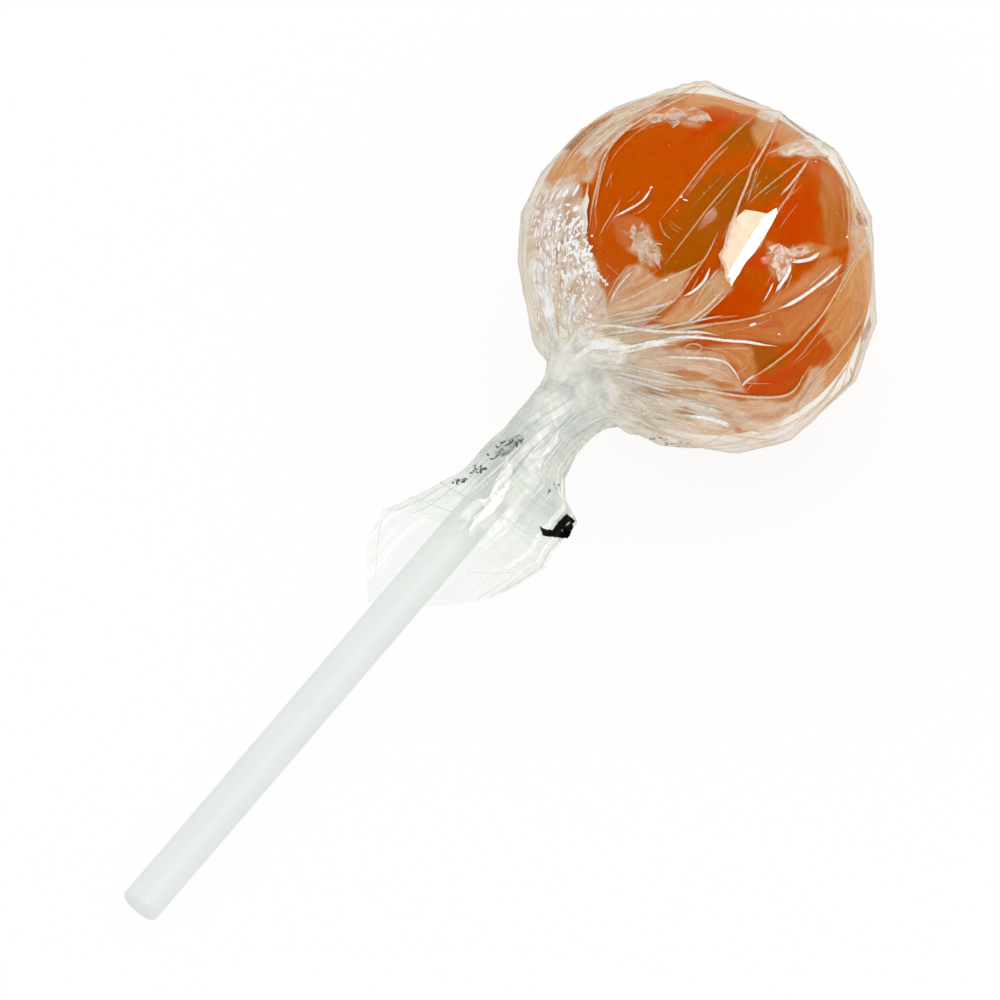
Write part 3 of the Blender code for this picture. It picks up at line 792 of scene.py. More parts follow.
# Below the ball's middle: reach right and left of the stick, half depth, pinch
SECTIONS = np.array((
    (17.7, 5.3, 4.7, 4.9, 1.0),
    (18.8, 4.5, 3.8, 4.0, 1.0),
    (20.4, 3.8, 3.4, 3.5, 1.0),
    (23.5, 3.6, 3.35, 3.35, 1.0),
    (26.4, 4.3, 3.4, 3.25, 1.05),
    (28.0, 5.8, 3.6, 3.2, 1.2),
    (28.9, 8.1, 3.7, 3.2, 1.3),
    (33.0, 8.1, 3.95, 3.2, 1.45),
    (34.8, 8.6, 4.6, 3.25, 1.5),
    (37.0, 7.9, 5.5, 3.3, 1.55),
    (41.0, 6.4, 7.2, 3.4, 1.6),
    (49.0, 5.4, 7.3, 3.5, 1.6),
))

# The cut edge: turn round the stick, and how far below the ball's middle it is
CUT_EDGE = np.array((
    (0.0, 39.8), (34.0, 37.6), (62.0, 39.2), (80.0, 37.9), (106.0, 38.9), (180.0, 41.2), (250.0, 48.3),
    (330.0, 41.6), (360.0, 39.8),
))


def pleat_folds():
    """For every pleat its turn, its strength and the polar angle where it starts."""
    chance = random.Random(PLEAT_SEED)
    pitch = 2.0 * math.pi / PLEATS
    folds = []
    for index in range(PLEATS):
        turn = pitch * (index + chance.uniform(-PLEAT_JITTER, PLEAT_JITTER))
        strength = chance.uniform(0.35, 1.0)
        start = chance.uniform(28.0, 100.0) * DEG
        folds.append((turn, strength, start))
    return folds


def column_layout():
    """For every column: turn, pleat height share, the pleat's strength and start."""
    folds = pleat_folds()
    rows = []
    for index, fold in enumerate(folds):
        following = folds[(index + 1) % PLEATS]
        width = (following[0] - fold[0]) % (2.0 * math.pi)
        for step in range(PLEAT_STEPS):
            place = step / PLEAT_STEPS
            steep = place < STEEP_SHARE
            height = 1.0 - place / STEEP_SHARE if steep else ((place - STEEP_SHARE) / (1.0 - STEEP_SHARE)) ** 1.5
            owner = fold if steep else following
            rows.append((fold[0] + place * width, height, owner[1], owner[2]))
    return np.array(rows).T


TURN, PLEAT_SHARE, PLEAT_POWER, PLEAT_START = column_layout()


def section(below, turn):
    """Points of the ring round the stick at levels below the ball's middle."""
    right = np.interp(below, SECTIONS[:, 0], SECTIONS[:, 1])
    left = np.interp(below, SECTIONS[:, 0], SECTIONS[:, 2])
    depth = np.interp(below, SECTIONS[:, 0], SECTIONS[:, 3])
    pinch = np.interp(below, SECTIONS[:, 0], SECTIONS[:, 4])
    across = np.cos(turn)
    forward = np.sign(np.sin(turn)) * np.abs(np.sin(turn)) ** pinch
    reach = np.where(across > 0.0, right, left)
    return np.stack((reach * across - STICK_OFFSET, -depth * forward, -below), -1)


print("pleats", PLEATS, "columns", COLUMNS, "sections", len(SECTIONS))

# %% [markdown]
# ## The sheet as a grid
# The grid follows the sheet from the far pole down to the cut edge. Over the ball
# it is a radius for each direction: the facets, the panes, the outline, the pleats
# and the creases are worked into it in turn. The neck and the skirt follow the
# sections, and the join is eased.

# %% Grid of the film
def flat_panes(way, film):
    """Replaces the film's radius inside the flat panes by that of a plane."""
    face = on_face(way * CANDY_RADIUS)
    for over, corners in FLAT_PANES.values():
        middle = np.array(corners).mean(axis=0) * FACE_SCALE
        depth = math.sqrt(CANDY_RADIUS ** 2 - middle @ middle)
        normal = np.array((middle[0], middle[1], depth)) / CANDY_RADIUS @ SHOWN
        plane = (float(candy_radius(normal)) + over) / np.maximum(way @ normal, 0.5)
        share = smooth_step(-0.50, -0.10, depth_inside(face, corners)) * (face[..., 2] > 0.0)
        film = film + share * (plane - film)
    return film


def ball_film(polar, turn):
    """The film over the ball: points, and their milkiness."""
    way = ways(polar, turn)
    candy = candy_radius(way)
    on_candy = way * candy[..., None]
    shown = way @ SHOWN.T
    angle = np.degrees(np.arctan2(-shown[..., 1], shown[..., 0]))
    band = np.exp(-(np.arcsin(np.clip(shown[..., 2], -1.0, 1.0)) / OUTLINE_BAND) ** 2)
    away = smooth_step(*OUTLINE_FADES, polar)
    front = smooth_step(-FRONT_BLEND, FRONT_BLEND, shown[..., 2])
    milk = film_values(way)[..., 0]
    taut = np.maximum(facet_radius(way), candy + TAUT_CLEAR)
    stand = candy + FILM_TOUCH + lift_on_face(on_candy)
    film = taut + front * (stand - taut)
    film = film + band * away * (np.maximum(outline_radius(angle), candy + OUTLINE_CLEAR) - film)
    foot = np.arccos(np.clip(-(way @ TURNED.T)[..., 2], -1.0, 1.0))
    calm = smooth_step(FOOT_CALM, 1.6 * FOOT_CALM, foot)
    grown = smooth_step(0.0, 1.0, (polar - PLEAT_START) / PLEAT_GROWS_OVER)
    shy = 1.0 - SHY * smooth_step(-0.1, 0.25, shown[..., 2]) * smooth_step(*SHY_FADES, polar)
    pleat = BALL_PLEAT * PLEAT_POWER * PLEAT_SHARE * grown * calm * shy
    film = flat_panes(way, film + np.maximum(pleat, crease_height(on_candy)))
    return way * film[..., None], milk


def film_grid():
    """The whole sheet: points by row and column, milkiness and crowding."""
    polar = BALL_LAST_POLAR * (np.arange(1, BALL_ROWS + 1) / BALL_ROWS)[:, None]
    turn = np.broadcast_to(TURN, (BALL_ROWS, COLUMNS))
    ball, milk = ball_film(polar + 0.0 * turn, turn)

    below = np.linspace(NECK_TOP, SKIRT_TOP, NECK_ROWS)[:, None]
    twist = NECK_TWIST * smooth_step(17.0, SKIRT_TOP, below)
    neck = section(below + 0.0 * TURN, TURN + twist)
    outward = np.stack((np.cos(TURN + twist), -np.sin(TURN + twist), 0.0 * (TURN + twist)), -1)
    fold = NECK_PLEAT * PLEAT_POWER * (PLEAT_SHARE - 0.5)
    neck = neck + outward * (fold * smooth_step(16.0, 19.0, below))[..., None]

    share = np.linspace(0.0, 1.0, SKIRT_ROWS + 1)[1:, None]
    angle = TURN + NECK_TWIST
    edge = np.interp(np.degrees(angle) % 360.0, CUT_EDGE[:, 0], CUT_EDGE[:, 1])
    level = SKIRT_TOP + share * (edge - SKIRT_TOP)
    skirt = section(level, angle + 0.0 * share)
    outward = np.stack((np.cos(angle), -np.sin(angle), 0.0 * angle), -1)
    fold = SKIRT_PLEAT * PLEAT_POWER * (PLEAT_SHARE - 0.5)
    skirt = skirt + outward * (fold + 0.0 * share)[..., None]

    points = np.concatenate((ball, neck, skirt))
    low = BALL_ROWS - EASE_ABOVE
    high = BALL_ROWS + EASE_BELOW
    for _ in range(EASE_ROUNDS):
        points[low:high] = 0.5 * points[low:high] + 0.25 * (points[low - 1:high - 1] + points[low + 1:high + 1])
    crowd = np.concatenate((
        BALL_CROWD * smooth_step(112.0 * DEG, 158.0 * DEG, polar) ** 2 + 0.0 * turn,
        1.0 - 0.25 * smooth_step(NECK_TOP, SKIRT_TOP, below) + 0.0 * TURN,
        SKIRT_CROWD[0] + SKIRT_CROWD[1] * smooth_step(0.42, 0.0, share) + 0.0 * TURN))
    faint = SKIRT_MILK[0] + SKIRT_MILK[1] * smooth_step(0.5, 0.0, share) + 0.0 * TURN
    milk = np.concatenate((milk, np.full(neck.shape[:2], NECK_MILK), faint))
    return points, milk, crowd


# %% [markdown]
# ## The sheet as a mesh
# Crisp film has soft dents, and it keeps clear of the stick. Then the grid becomes
# one mesh. Each of its points also carries what the finish needs to know there:
# how milky and crowded the film is, and which way its streaks run.

# %% Mesh of the film
STICK_CLEAR = 0.10
NECK_DENT = 0.16
FINE_DENT = 0.05
SKIRT_WAVE = 0.22


def crinkled(points):
    """Soft dents of crisp film: drawn out along the pleats at the neck, wide in the skirt."""
    row = np.arange(len(points))
    neck = smooth_step(BALL_ROWS - 14, BALL_ROWS, row) * smooth_step(BALL_ROWS + 50, BALL_ROWS + 30, row)
    skirt = smooth_step(BALL_ROWS + 30, BALL_ROWS + 50, row)
    stretched = points * np.array((1.0, 1.0, 0.3))
    dents = NECK_DENT * rough(stretched, 1.5, 7) + FINE_DENT * rough(points, 0.8, 9)
    waves = SKIRT_WAVE * rough(points, 3.4, 14)
    axis = points.copy()
    axis[..., 2] = np.where(points[..., 2] > -16.0, points[..., 2], 0.0)
    outward = axis / np.linalg.norm(axis, axis=-1, keepdims=True)
    moved = points + outward * (neck[:, None] * dents + skirt[:, None] * waves)[..., None]
    off = moved[BALL_ROWS:, :, :2] + np.array((STICK_OFFSET, 0.0))
    reach = np.maximum(np.linalg.norm(off, axis=-1, keepdims=True), 1e-6)
    moved[BALL_ROWS:, :, :2] += off / reach * np.maximum(STICK_RADIUS + STICK_CLEAR - reach, 0.0)
    return moved


FLOW_RADIUS = 14.0
FLOW_STEP = 0.06
LAY_STRETCH = 0.16
LAY_SHIFT = 3.7


def lay_of_film(points):
    """Across and along the nearest crease: streaks in the film then run beside its creases."""
    face = on_face(points)
    best = np.full(face.shape[:-1], 1e9)
    lay = np.zeros(face.shape)
    for index, (_, _, _, chain) in enumerate(CREASES.values()):
        distance, share = chain_distance(face, chain)
        length = sum(math.dist(start, stop) for start, stop in zip(chain, chain[1:]))
        nearer = np.abs(distance) < best
        best = np.where(nearer, np.abs(distance), best)
        values = np.stack((distance, share * length * LAY_STRETCH, np.full_like(distance, index * LAY_SHIFT)), -1)
        lay = np.where(nearer[..., None], values, lay)
    return lay


def make_film():
    """The sheet as one mesh, with its milkiness and crowding for the material."""
    points, milk, crowd = film_grid()
    points = crinkled(points)
    rows = points.shape[0]
    flat = after_pole(points[0].mean(axis=0), points)
    faces = cap_faces(0, 1, COLUMNS) + ring_faces(rows, COLUMNS, 1)
    item = mesh_object("film_sheet", laid(flat), faces)
    add_attribute(item.data, "milk", after_pole(milk[0].mean(), milk))
    add_attribute(item.data, "crowd", after_pole(0.0, crowd))
    cool = smooth_step(*COOL_ROWS, np.arange(rows))[:, None] + 0.0 * TURN
    add_attribute(item.data, "cool", after_pole(0.0, cool))
    around = np.stack((np.cos(TURN), np.sin(TURN)), -1) * FLOW_RADIUS
    flow = np.concatenate((
        np.broadcast_to(around, (rows, COLUMNS, 2)),
        np.broadcast_to((np.arange(rows) * FLOW_STEP)[:, None, None], (rows, COLUMNS, 1))), -1)
    add_attribute(item.data, "flow", after_pole(0.0, flow))
    add_attribute(item.data, "lay", after_pole(0.0, lay_of_film(points)))
    return item


FILM = make_film()
print("film faces", len(FILM.data.polygons))

# %% [markdown]
# ## The candy
# Boiled sugar sets glassy, with a skin that dips slightly where bubbles broke.
# The skin is a fine grid round the stick's line, so that its lower pole is the
# hole that the stick fills.

# %% Candy mesh
CANDY_ROWS = 230
CANDY_COLUMNS = 400
DIMPLES = 26
DIMPLE_DEPTH = 0.28
DIMPLE_SPREAD = 9.0 * DEG
DIMPLE_TOP_LEVEL = 0.92
DIMPLE_LEVEL_RANGE = 1.72
HOLE_POLAR = 172.6 * DEG
HOLE_CLEAR = 0.05
HOLE_OVER = 0.3  # the blind end above the stick's top
HOLE_RINGS = 6
SKIN_GRAIN = 0.05


def dimples(way):
    """How deep the shallow dimples are along unit vectors."""
    depth = np.zeros(way.shape[:-1])
    for index in range(DIMPLES):
        level = DIMPLE_TOP_LEVEL - DIMPLE_LEVEL_RANGE * (index + 0.5) / DIMPLES
        middle = ways(np.array(math.acos(level)), np.array(GOLDEN * index))
        angle = np.arccos(np.clip(way @ middle, -1.0, 1.0))
        spread = DIMPLE_SPREAD * (0.7 + 0.15 * (index % 4))
        depth = np.maximum(depth, DIMPLE_DEPTH * np.exp(-(angle / spread) ** 2))
    return depth


# Clouds in the sugar: red-orange above 0, olive below 0; then the middle, half sizes and tilt
CLOUDS = (
    (0.7, 9.4, 4.7, 3.0, 2.2, 60), (0.7, 1.2, 13.6, 1.5, 1.2, 20), (0.6, 5.4, 0.2, 1.4, 0.9, 20),
    (0.6, -1.2, 15.0, 1.2, 0.8, 0), (0.25, -2.0, 10.6, 4.0, 2.6, 10),
    (0.6, 2.2, -4.6, 2.6, 1.6, 30), (0.6, -0.6, -1.4, 1.4, 0.8, 60),
    (0.6, 6.6, -11.4, 3.6, 1.4, 30), (-0.9, 1.2, 5.6, 3.6, 2.4, 50), (-0.8, -1.6, 1.6, 3.4, 1.6, 50),
    (-0.8, 6.6, 8.4, 2.2, 1.6, 30), (-0.7, 3.6, 12.8, 2.6, 1.4, 20), (-0.6, -2.2, 2.8, 2.4, 2.0, 0),
    (-0.5, 13.0, 6.0, 4.0, 1.6, 90), (-0.6, 6.2, -9.2, 2.4, 1.6, 0),
)


def candy_tint(way):
    """From -1, olive, to 1, red-orange, along unit vectors: clouds on the shown face, noise elsewhere."""
    points = way * CANDY_RADIUS
    face = on_face(points)
    warp = 1.3 * rough(points, 2.4, 6) + 0.5 * rough(points, 0.9, 8)
    tint = 0.9 * rough(points, 7.0, 4) * smooth_step(4.0, -4.0, face[..., 2])
    for amount, x, y, half, width, tilt in CLOUDS:
        across = face[..., 0] - x + warp
        along = face[..., 1] - y + warp
        cosine = math.cos(tilt * DEG)
        sine = math.sin(tilt * DEG)
        distance = np.hypot((across * cosine + along * sine) / half, (along * cosine - across * sine) / width)
        share = smooth_step(1.55, 0.55, distance) * (face[..., 2] > 0.0)
        tint = tint + share * (amount - tint)
    return tint


def make_candy():
    """The ball, down to the hole, and the hole's wall up to its blind end."""
    polar = (HOLE_POLAR * np.arange(1, CANDY_ROWS + 1) / CANDY_ROWS)[:, None]
    turn = np.linspace(0.0, 2.0 * math.pi, CANDY_COLUMNS, endpoint=False)
    way = ways(polar + 0.0 * turn, turn + 0.0 * polar)
    lean = smooth_step(120.0 * DEG, HOLE_POLAR, polar)
    skin = way * (candy_radius(way) - dimples(way) + SKIN_GRAIN * rough(way * 17.0, 1.6, 5))[..., None]
    skin[..., 0] -= STICK_OFFSET * lean
    rim = skin[-1]
    top = STICK_LENGTH - STICK_REACH + HOLE_OVER
    bore = STICK_RADIUS + HOLE_CLEAR
    wall = []
    for level in np.linspace(rim[:, 2].mean() + 0.5, top, HOLE_RINGS):
        wall.append(np.stack((np.cos(turn) * bore - STICK_OFFSET, -np.sin(turn) * bore, np.full_like(turn, level)), -1))
    rings = np.concatenate((skin, np.array(wall)))
    flat = np.concatenate((after_pole(skin[0].mean(axis=0), rings), ((-STICK_OFFSET, 0.0, top),)))
    last = 1 + (rings.shape[0] - 1) * CANDY_COLUMNS
    faces = cap_faces(0, 1, CANDY_COLUMNS) + ring_faces(rings.shape[0], CANDY_COLUMNS, 1)
    faces += cap_faces(len(flat) - 1, last, CANDY_COLUMNS, False)
    item = mesh_object("candy_ball", laid(flat), faces)
    hidden = len(wall) * CANDY_COLUMNS + 1
    # pale: how much paler the candy is painted, a painted veil of the light that lifted film reflects
    add_attribute(item.data, "pale", np.concatenate((after_pole(0.0, film_values(way)[..., 1]), np.ones(hidden))))
    add_attribute(item.data, "tint", np.concatenate((after_pole(0.0, candy_tint(way)), np.zeros(hidden))))
    lay = lay_of_film(way * CANDY_RADIUS)
    add_attribute(item.data, "lay", np.concatenate((after_pole(0.0, lay), np.zeros((hidden, 3)))))
    return item


CANDY = make_candy()
print("candy faces", len(CANDY.data.polygons))

# %% [markdown]
# ## Pieces that follow a rule
# Some pieces follow from a few sizes. A Geometry Nodes tree holds such a rule. The
# class below builds the tree with the same wires as the shaders, runs it once and
# keeps the result as a plain mesh.

# %% A class for rules in Geometry Nodes
BEAD_SEGMENTS = 10
BEAD_RINGS = 5


class Rule(Graph):
    """A Geometry Nodes tree: a mesh and named sizes go in, real geometry with its material comes out."""

    def __init__(self, name, sizes):
        super().__init__(bpy.data.node_groups.new(name, "GeometryNodeTree"))
        self.tree.is_modifier = True
        self.add_socket("Geometry", "INPUT", "NodeSocketGeometry")
        self.values = {self.add_socket(label, "INPUT", "NodeSocketFloat"): value for label, value in sizes.items()}
        self.add_socket("Geometry", "OUTPUT", "NodeSocketGeometry")

    def add_socket(self, name, way, kind):
        return self.tree.interface.new_socket(name=name, in_out=way, socket_type=kind).identifier

    def given(self, label="Geometry"):
        """The mesh that goes in, or the size of that name."""
        return self.node("NodeGroupInput", output=label)

    def stored(self, name, kind):
        """A number or a vector that the mesh carries."""
        return self.node("GeometryNodeInputNamedAttribute", {"data_type": kind}, {"Name": name}, "Attribute")

    def sweep(self, curve, width, sides):
        """A closed round rod along a curve, as wide as each point says."""
        circle = self.node("GeometryNodeCurvePrimitiveCircle", None, {"Resolution": sides, "Radius": 1.0})
        return self.node("GeometryNodeCurveToMesh", None, {
            "Curve": curve, "Profile Curve": circle, "Fill Caps": True, "Scale": width})

    def beads(self, points, radius, turn, size):
        """A small ball on every point, turned and stretched."""
        bead = self.node("GeometryNodeMeshUVSphere", None, {
            "Segments": BEAD_SEGMENTS, "Rings": BEAD_RINGS, "Radius": radius}, "Mesh")
        return self.node("GeometryNodeInstanceOnPoints", None, {
            "Points": points, "Instance": bead, "Rotation": turn, "Scale": size})

    def baked(self, name, geometry, material, source=None):
        """Ends the tree, runs it on a mesh and keeps the result as a plain mesh object."""
        real = self.node("GeometryNodeRealizeInstances", None, {0: geometry})
        painted = self.node("GeometryNodeSetMaterial", None, {"Geometry": real, "Material": material})
        self.node("NodeGroupOutput", None, {0: painted})
        holder = link(bpy.data.objects.new(name + "_source", source or bpy.data.meshes.new(name)))
        modifier = holder.modifiers.new(name, "NODES")
        modifier.node_group = self.tree
        for identifier, value in self.values.items():
            modifier[identifier] = value
        bpy.context.view_layer.update()
        evaluated = holder.evaluated_get(bpy.context.evaluated_depsgraph_get())
        data = bpy.data.meshes.new_from_object(evaluated)
        bpy.data.objects.remove(holder, do_unlink=True)
        item = link(bpy.data.objects.new(name, data))
        data.name = name
        data.shade_smooth()
        if not data.materials:
            data.materials.append(material)
        return item


# %% [markdown]
# ## The stick, as a rule
# A turned rod needs only its length, its radius and how far its ends are eased.
# The tree draws a line, gives it those radii and sweeps a circle along it.

# %% Stick by Geometry Nodes
ROD_SAMPLES = 401
ROD_SIDES = 96


def make_stick(material):
    """A rod with eased ends, swept along Z, then moved to its place under the candy and laid down."""
    rule = Rule("turned_rod", {"Length": STICK_LENGTH, "Radius": STICK_RADIUS, "Edge": STICK_EDGE})
    length, radius, edge = (rule.given(label) for label in ("Length", "Radius", "Edge"))
    tip = rule.node("ShaderNodeCombineXYZ", None, {"Z": length})
    line = rule.node("GeometryNodeCurvePrimitiveLine", None, {"End": tip})
    fine = rule.node("GeometryNodeResampleCurve", None, {"Curve": line, "Count": ROD_SAMPLES})
    level = rule.node("ShaderNodeSeparateXYZ", None, {0: rule.node("GeometryNodeInputPosition")}, "Z")
    lack = (edge - (length - level).least(level)).most(0.0)
    width = radius - lack * lack / edge
    sized = rule.node("GeometryNodeSetCurveRadius", None, {"Curve": fine, "Radius": width})
    item = rule.baked("stick_rod", rule.sweep(sized, width, ROD_SIDES), material)
    points = np.empty(len(item.data.vertices) * 3)
    item.data.vertices.foreach_get("co", points)
    points = points.reshape(-1, 3) + np.array((-STICK_OFFSET, 0.0, -STICK_REACH))
    item.data.vertices.foreach_set("co", laid(points).ravel())
    item.data.update()
    item.data.set_sharp_from_angle(angle=50.0 * DEG)
    return item


# %% [markdown]
# ## The finishes
# The stick is white plastic, almost even. The candy is deep orange with olive
# and red-orange clouds, painted paler where the film stands off: a painted veil
# of reflected light. The film mixes three things: it lets light through, it
# mirrors the lights, and where it stands off or crowds it looks milky. Towards
# its outline it is painted cream, a painted reflection, and its whitest threads
# and folds are painted highlights.

# %% Finishes
def stick_finish():
    """White moulded plastic, very slightly uneven."""
    graph = Finish("white_stick")
    grain = graph.noise(0.25, 4.0)
    fine = graph.noise(3.0, 2.0)
    colour = graph.blend(grain, srgb(228, 234, 229), srgb(236, 240, 237))
    shader = graph.principled({
        "Base Color": colour, "Roughness": 0.5 + 0.10 * fine,
        "Normal": graph.bump(fine, 0.12, 0.02),
        "IOR": 1.46, "Specular IOR Level": 0.12})
    return graph.finish(shader)


def candy_finish():
    """Amber boiled sugar: deep where the film touches, paler and cloudy elsewhere; the paler colour is a painted veil
    of the light that the lifted film reflects.
    """
    graph = Finish("amber_candy")
    lifted = graph.reading("pale")
    tint = graph.reading("tint")
    lay = graph.reading("lay", "Vector")
    cloud = graph.noise(0.30, 6.0, 1.4)
    veins = graph.noise(0.7, 5.0, 1.6)
    smears = graph.noise(0.9, 5.0, 0.8, lay)
    mixed = tint + 0.9 * (cloud - 0.5)
    fine = graph.noise(1.6, 4.0, 0.8)
    deep = graph.blend(mixed.step(0.0, 0.7), srgb(207, 88, 0), srgb(211, 72, 0))
    deep = graph.blend((0.0 - mixed).step(0.0, 0.8), deep, srgb(180, 94, 4))
    deep = graph.blend(veins.step(0.50, 0.72, 0.0, 0.35), deep, srgb(196, 70, 0))
    deep = graph.blend(fine.step(0.35, 0.7, 0.0, 0.22), deep, srgb(176, 68, 0))
    # The paler colour is a painted veil of the light reflected where the film stands off
    pale = graph.blend(smears.step(0.2, 0.85), srgb(214, 134, 54), srgb(238, 176, 110))
    shade = (lifted * (0.62 + 0.6 * smears.step(0.2, 0.8)) + 0.25 * lifted * (veins - 0.5)).least(1.0)
    colour = graph.blend(shade, deep, pale)
    shader = graph.principled({
        "Base Color": colour, "Roughness": 0.38 + 0.2 * shade,
        "Normal": graph.bump(fine, 0.25, 0.12),
        "IOR": 1.5, "Specular IOR Level": 0.004,
        "Subsurface Weight": 0.20, "Subsurface Radius": (1.0, 0.45, 0.12),
        "Subsurface Scale": 0.0012})
    return graph.finish(shader)


LAYER_LOSS = (0.968, 0.978, 0.966, 1.0)
NO_LOSS = (1.0, 1.0, 1.0, 1.0)
WARM_MIRROR = (1.0, 0.94, 0.82, 1.0)
GLOSS_LIMIT = 0.07


def film_look(graph, haze, colour, bump, gloss, rough_by, calm=1.0, loss=LAYER_LOSS):
    """Clear film: light goes through, a share of it is milky, and its gloss mirrors."""
    clear = graph.node("ShaderNodeBsdfTransparent", None, {"Color": loss})
    white = graph.principled({
        "Base Color": colour, "Roughness": 0.45, "Normal": bump, "IOR": 1.5, "Specular IOR Level": 0.3})
    mirror = graph.principled({
        "Base Color": WARM_MIRROR, "Metallic": 1.0, "Roughness": rough_by, "Normal": bump})
    glint = graph.node("ShaderNodeFresnel", None, {"IOR": 1.45, "Normal": bump})
    body = graph.node("ShaderNodeMixShader", None, {0: haze, 1: clear, 2: white})
    share = (glint * gloss).least(GLOSS_LIMIT) * calm
    return graph.node("ShaderNodeMixShader", None, {0: share, 1: body, 2: mirror})


def film_finish():
    """The sheet: milky by pane, denser at the neck, and painted cream towards grazing angles, a painted reflection of
    the white surround.
    """
    graph = Finish("clear_film")
    milk = graph.reading("milk")
    crowd = graph.reading("crowd")
    flow = graph.reading("flow", "Vector")
    lay = graph.reading("lay", "Vector")
    cloud = graph.noise(0.45, 4.0, 0.6)
    mottle = graph.noise(0.8, 4.0, 0.3)
    soft = graph.noise(0.35, 3.0, 0.6)
    cool = graph.reading("cool")
    smears = graph.noise(1.3, 5.0, 0.4, lay)
    streaks = graph.noise(1.1, 5.0, 0.3, flow)
    veil = milk * (0.45 + 1.1 * smears.step(0.3, 0.7)) * (0.82 + 0.36 * mottle.step(0.3, 0.7))
    rows = streaks.step(0.3, 0.7)
    thick = crowd * (0.38 + 0.34 * soft.step(0.3, 0.7) + (0.20 - 0.10 * cool) * rows)
    haze = 1.0 - (1.0 - veil).most(0.0) * (1.0 - thick.least(0.92))
    colour = graph.blend(milk.step(0.1, 0.45), srgb(240, 216, 174), srgb(250, 242, 226))
    grey = graph.blend(soft.step(0.3, 0.7), srgb(216, 224, 218), srgb(242, 243, 235))
    colour = graph.blend(cool, colour, grey)
    # Towards grazing angles the film is painted milkier and cream: a painted reflection of the white surround along its
    # outline
    edge = graph.node("ShaderNodeLayerWeight", None, {"Blend": 0.5}, "Facing").step(0.45, 1.0)
    haze = 1.0 - (1.0 - haze) * (1.0 - 0.42 * edge)
    colour = graph.blend(0.75 * edge, colour, srgb(226, 220, 198))
    bump = graph.bump(0.5 * cloud + 0.3 * streaks, 0.10, 0.10)
    calm = 0.22 - 0.12 * crowd
    return graph.finish(film_look(graph, haze, colour, bump, 0.5, 0.06 + 0.30 * crowd, calm))


def crease_finish():
    """Doubled film along a crease: milky by its own amount; near full milkiness an opaque white line, a painted
    highlight, with real gloss as well.
    """
    graph = Finish("film_crease")
    fine = graph.noise(2.2, 3.0, 0.4)
    milk = graph.reading("milk")
    # Milkiness near 1 gives an opaque white line: a painted highlight
    haze = milk * (0.75 + 0.4 * fine.step(0.3, 0.7))
    bump = graph.bump(fine, 0.10, 0.05)
    colour = graph.blend(milk.step(0.35, 0.9), srgb(240, 204, 152), srgb(255, 251, 243))
    cool = graph.reading("cool")
    colour = graph.blend(cool.least(1.0), colour, srgb(248, 250, 246))
    # Cool above 1 paints the line grey-brown: painted shade of the film's edge
    colour = graph.blend((cool - 1.0).most(0.0), colour, srgb(150, 148, 132))
    return graph.finish(film_look(graph, haze.least(1.0), colour, bump, 0.2, 0.15, milk.step(0.6, 0.95, 0.1, 1.0),
                                  NO_LOSS))


FILM.data.materials.append(film_finish())
CANDY.data.materials.append(candy_finish())
STICK = make_stick(stick_finish())
print("stick faces", len(STICK.data.polygons))

# %% [markdown]
# ## Onto the sheet
# A crease catches the light as a fine pale line; the whitest are painted
# highlights. The points of each crease are dropped onto the sheet along the
# camera's direction. Fine film has many more lines than its main creases: fainter
# ones beside them, bundles between two borders, a few in the skirt, and grey-brown
# ones along the outline, painted shade of the film's edge.

# %% Lines dropped onto the film
THREAD_SIDES = 8
THREAD_STEP = 0.25
RAY_START = 60.0
SIDE_RAY_START = 40.0
FILM_TREE = BVHTree.FromObject(FILM, bpy.context.evaluated_depsgraph_get())


def film_under(spot):
    """Where the camera's direction meets the sheet, and the normal there; None where it misses."""
    start = BALL_MIDDLE + Vector((spot + RAY_START * BACK) * MM)
    place, normal, _, _ = FILM_TREE.ray_cast(start, Vector(-BACK))
    return place, normal


def on_film(x, y):
    """The place and the normal on the sheet at a point of the shown face."""
    spot = FACE_SCALE * (x * RIGHT + y * UP)
    place, normal = film_under(spot)
    if place is None:
        place, normal, _, _ = FILM_TREE.find_nearest(BALL_MIDDLE + Vector(spot * MM))
    if normal.dot(Vector(BACK)) < 0.0:
        normal = -normal
    return place, normal


def even_chain(chain, step):
    """A rounded chain with points an even step apart, and each one's share of the way."""
    points = np.array(rounded_chain(chain))
    lengths = np.concatenate(((0.0,), np.cumsum(np.hypot(*np.diff(points, axis=0).T))))
    count = max(3, int(lengths[-1] / step) + 1)
    share = np.linspace(0.0, 1.0, count)
    return np.stack([np.interp(share * lengths[-1], lengths, points[:, axis]) for axis in (0, 1)], -1), share


ECHO_SEED = 19
THREAD_SEED = 23
THREAD_LIFT = 0.02
TABLE_GAP = 0.03
ECHOES = 2  # fainter creases beside each main one
ECHO_STEP = 0.8
ECHO_LIMIT = 17.2
# Above 1, cool paints a line grey-brown: painted shade along the film's outline
SKIRT_COOL = 1.0  # from 0, warm white, to 1, cool white, and on to 2, grey-brown
EDGE_SHADE = 1.8
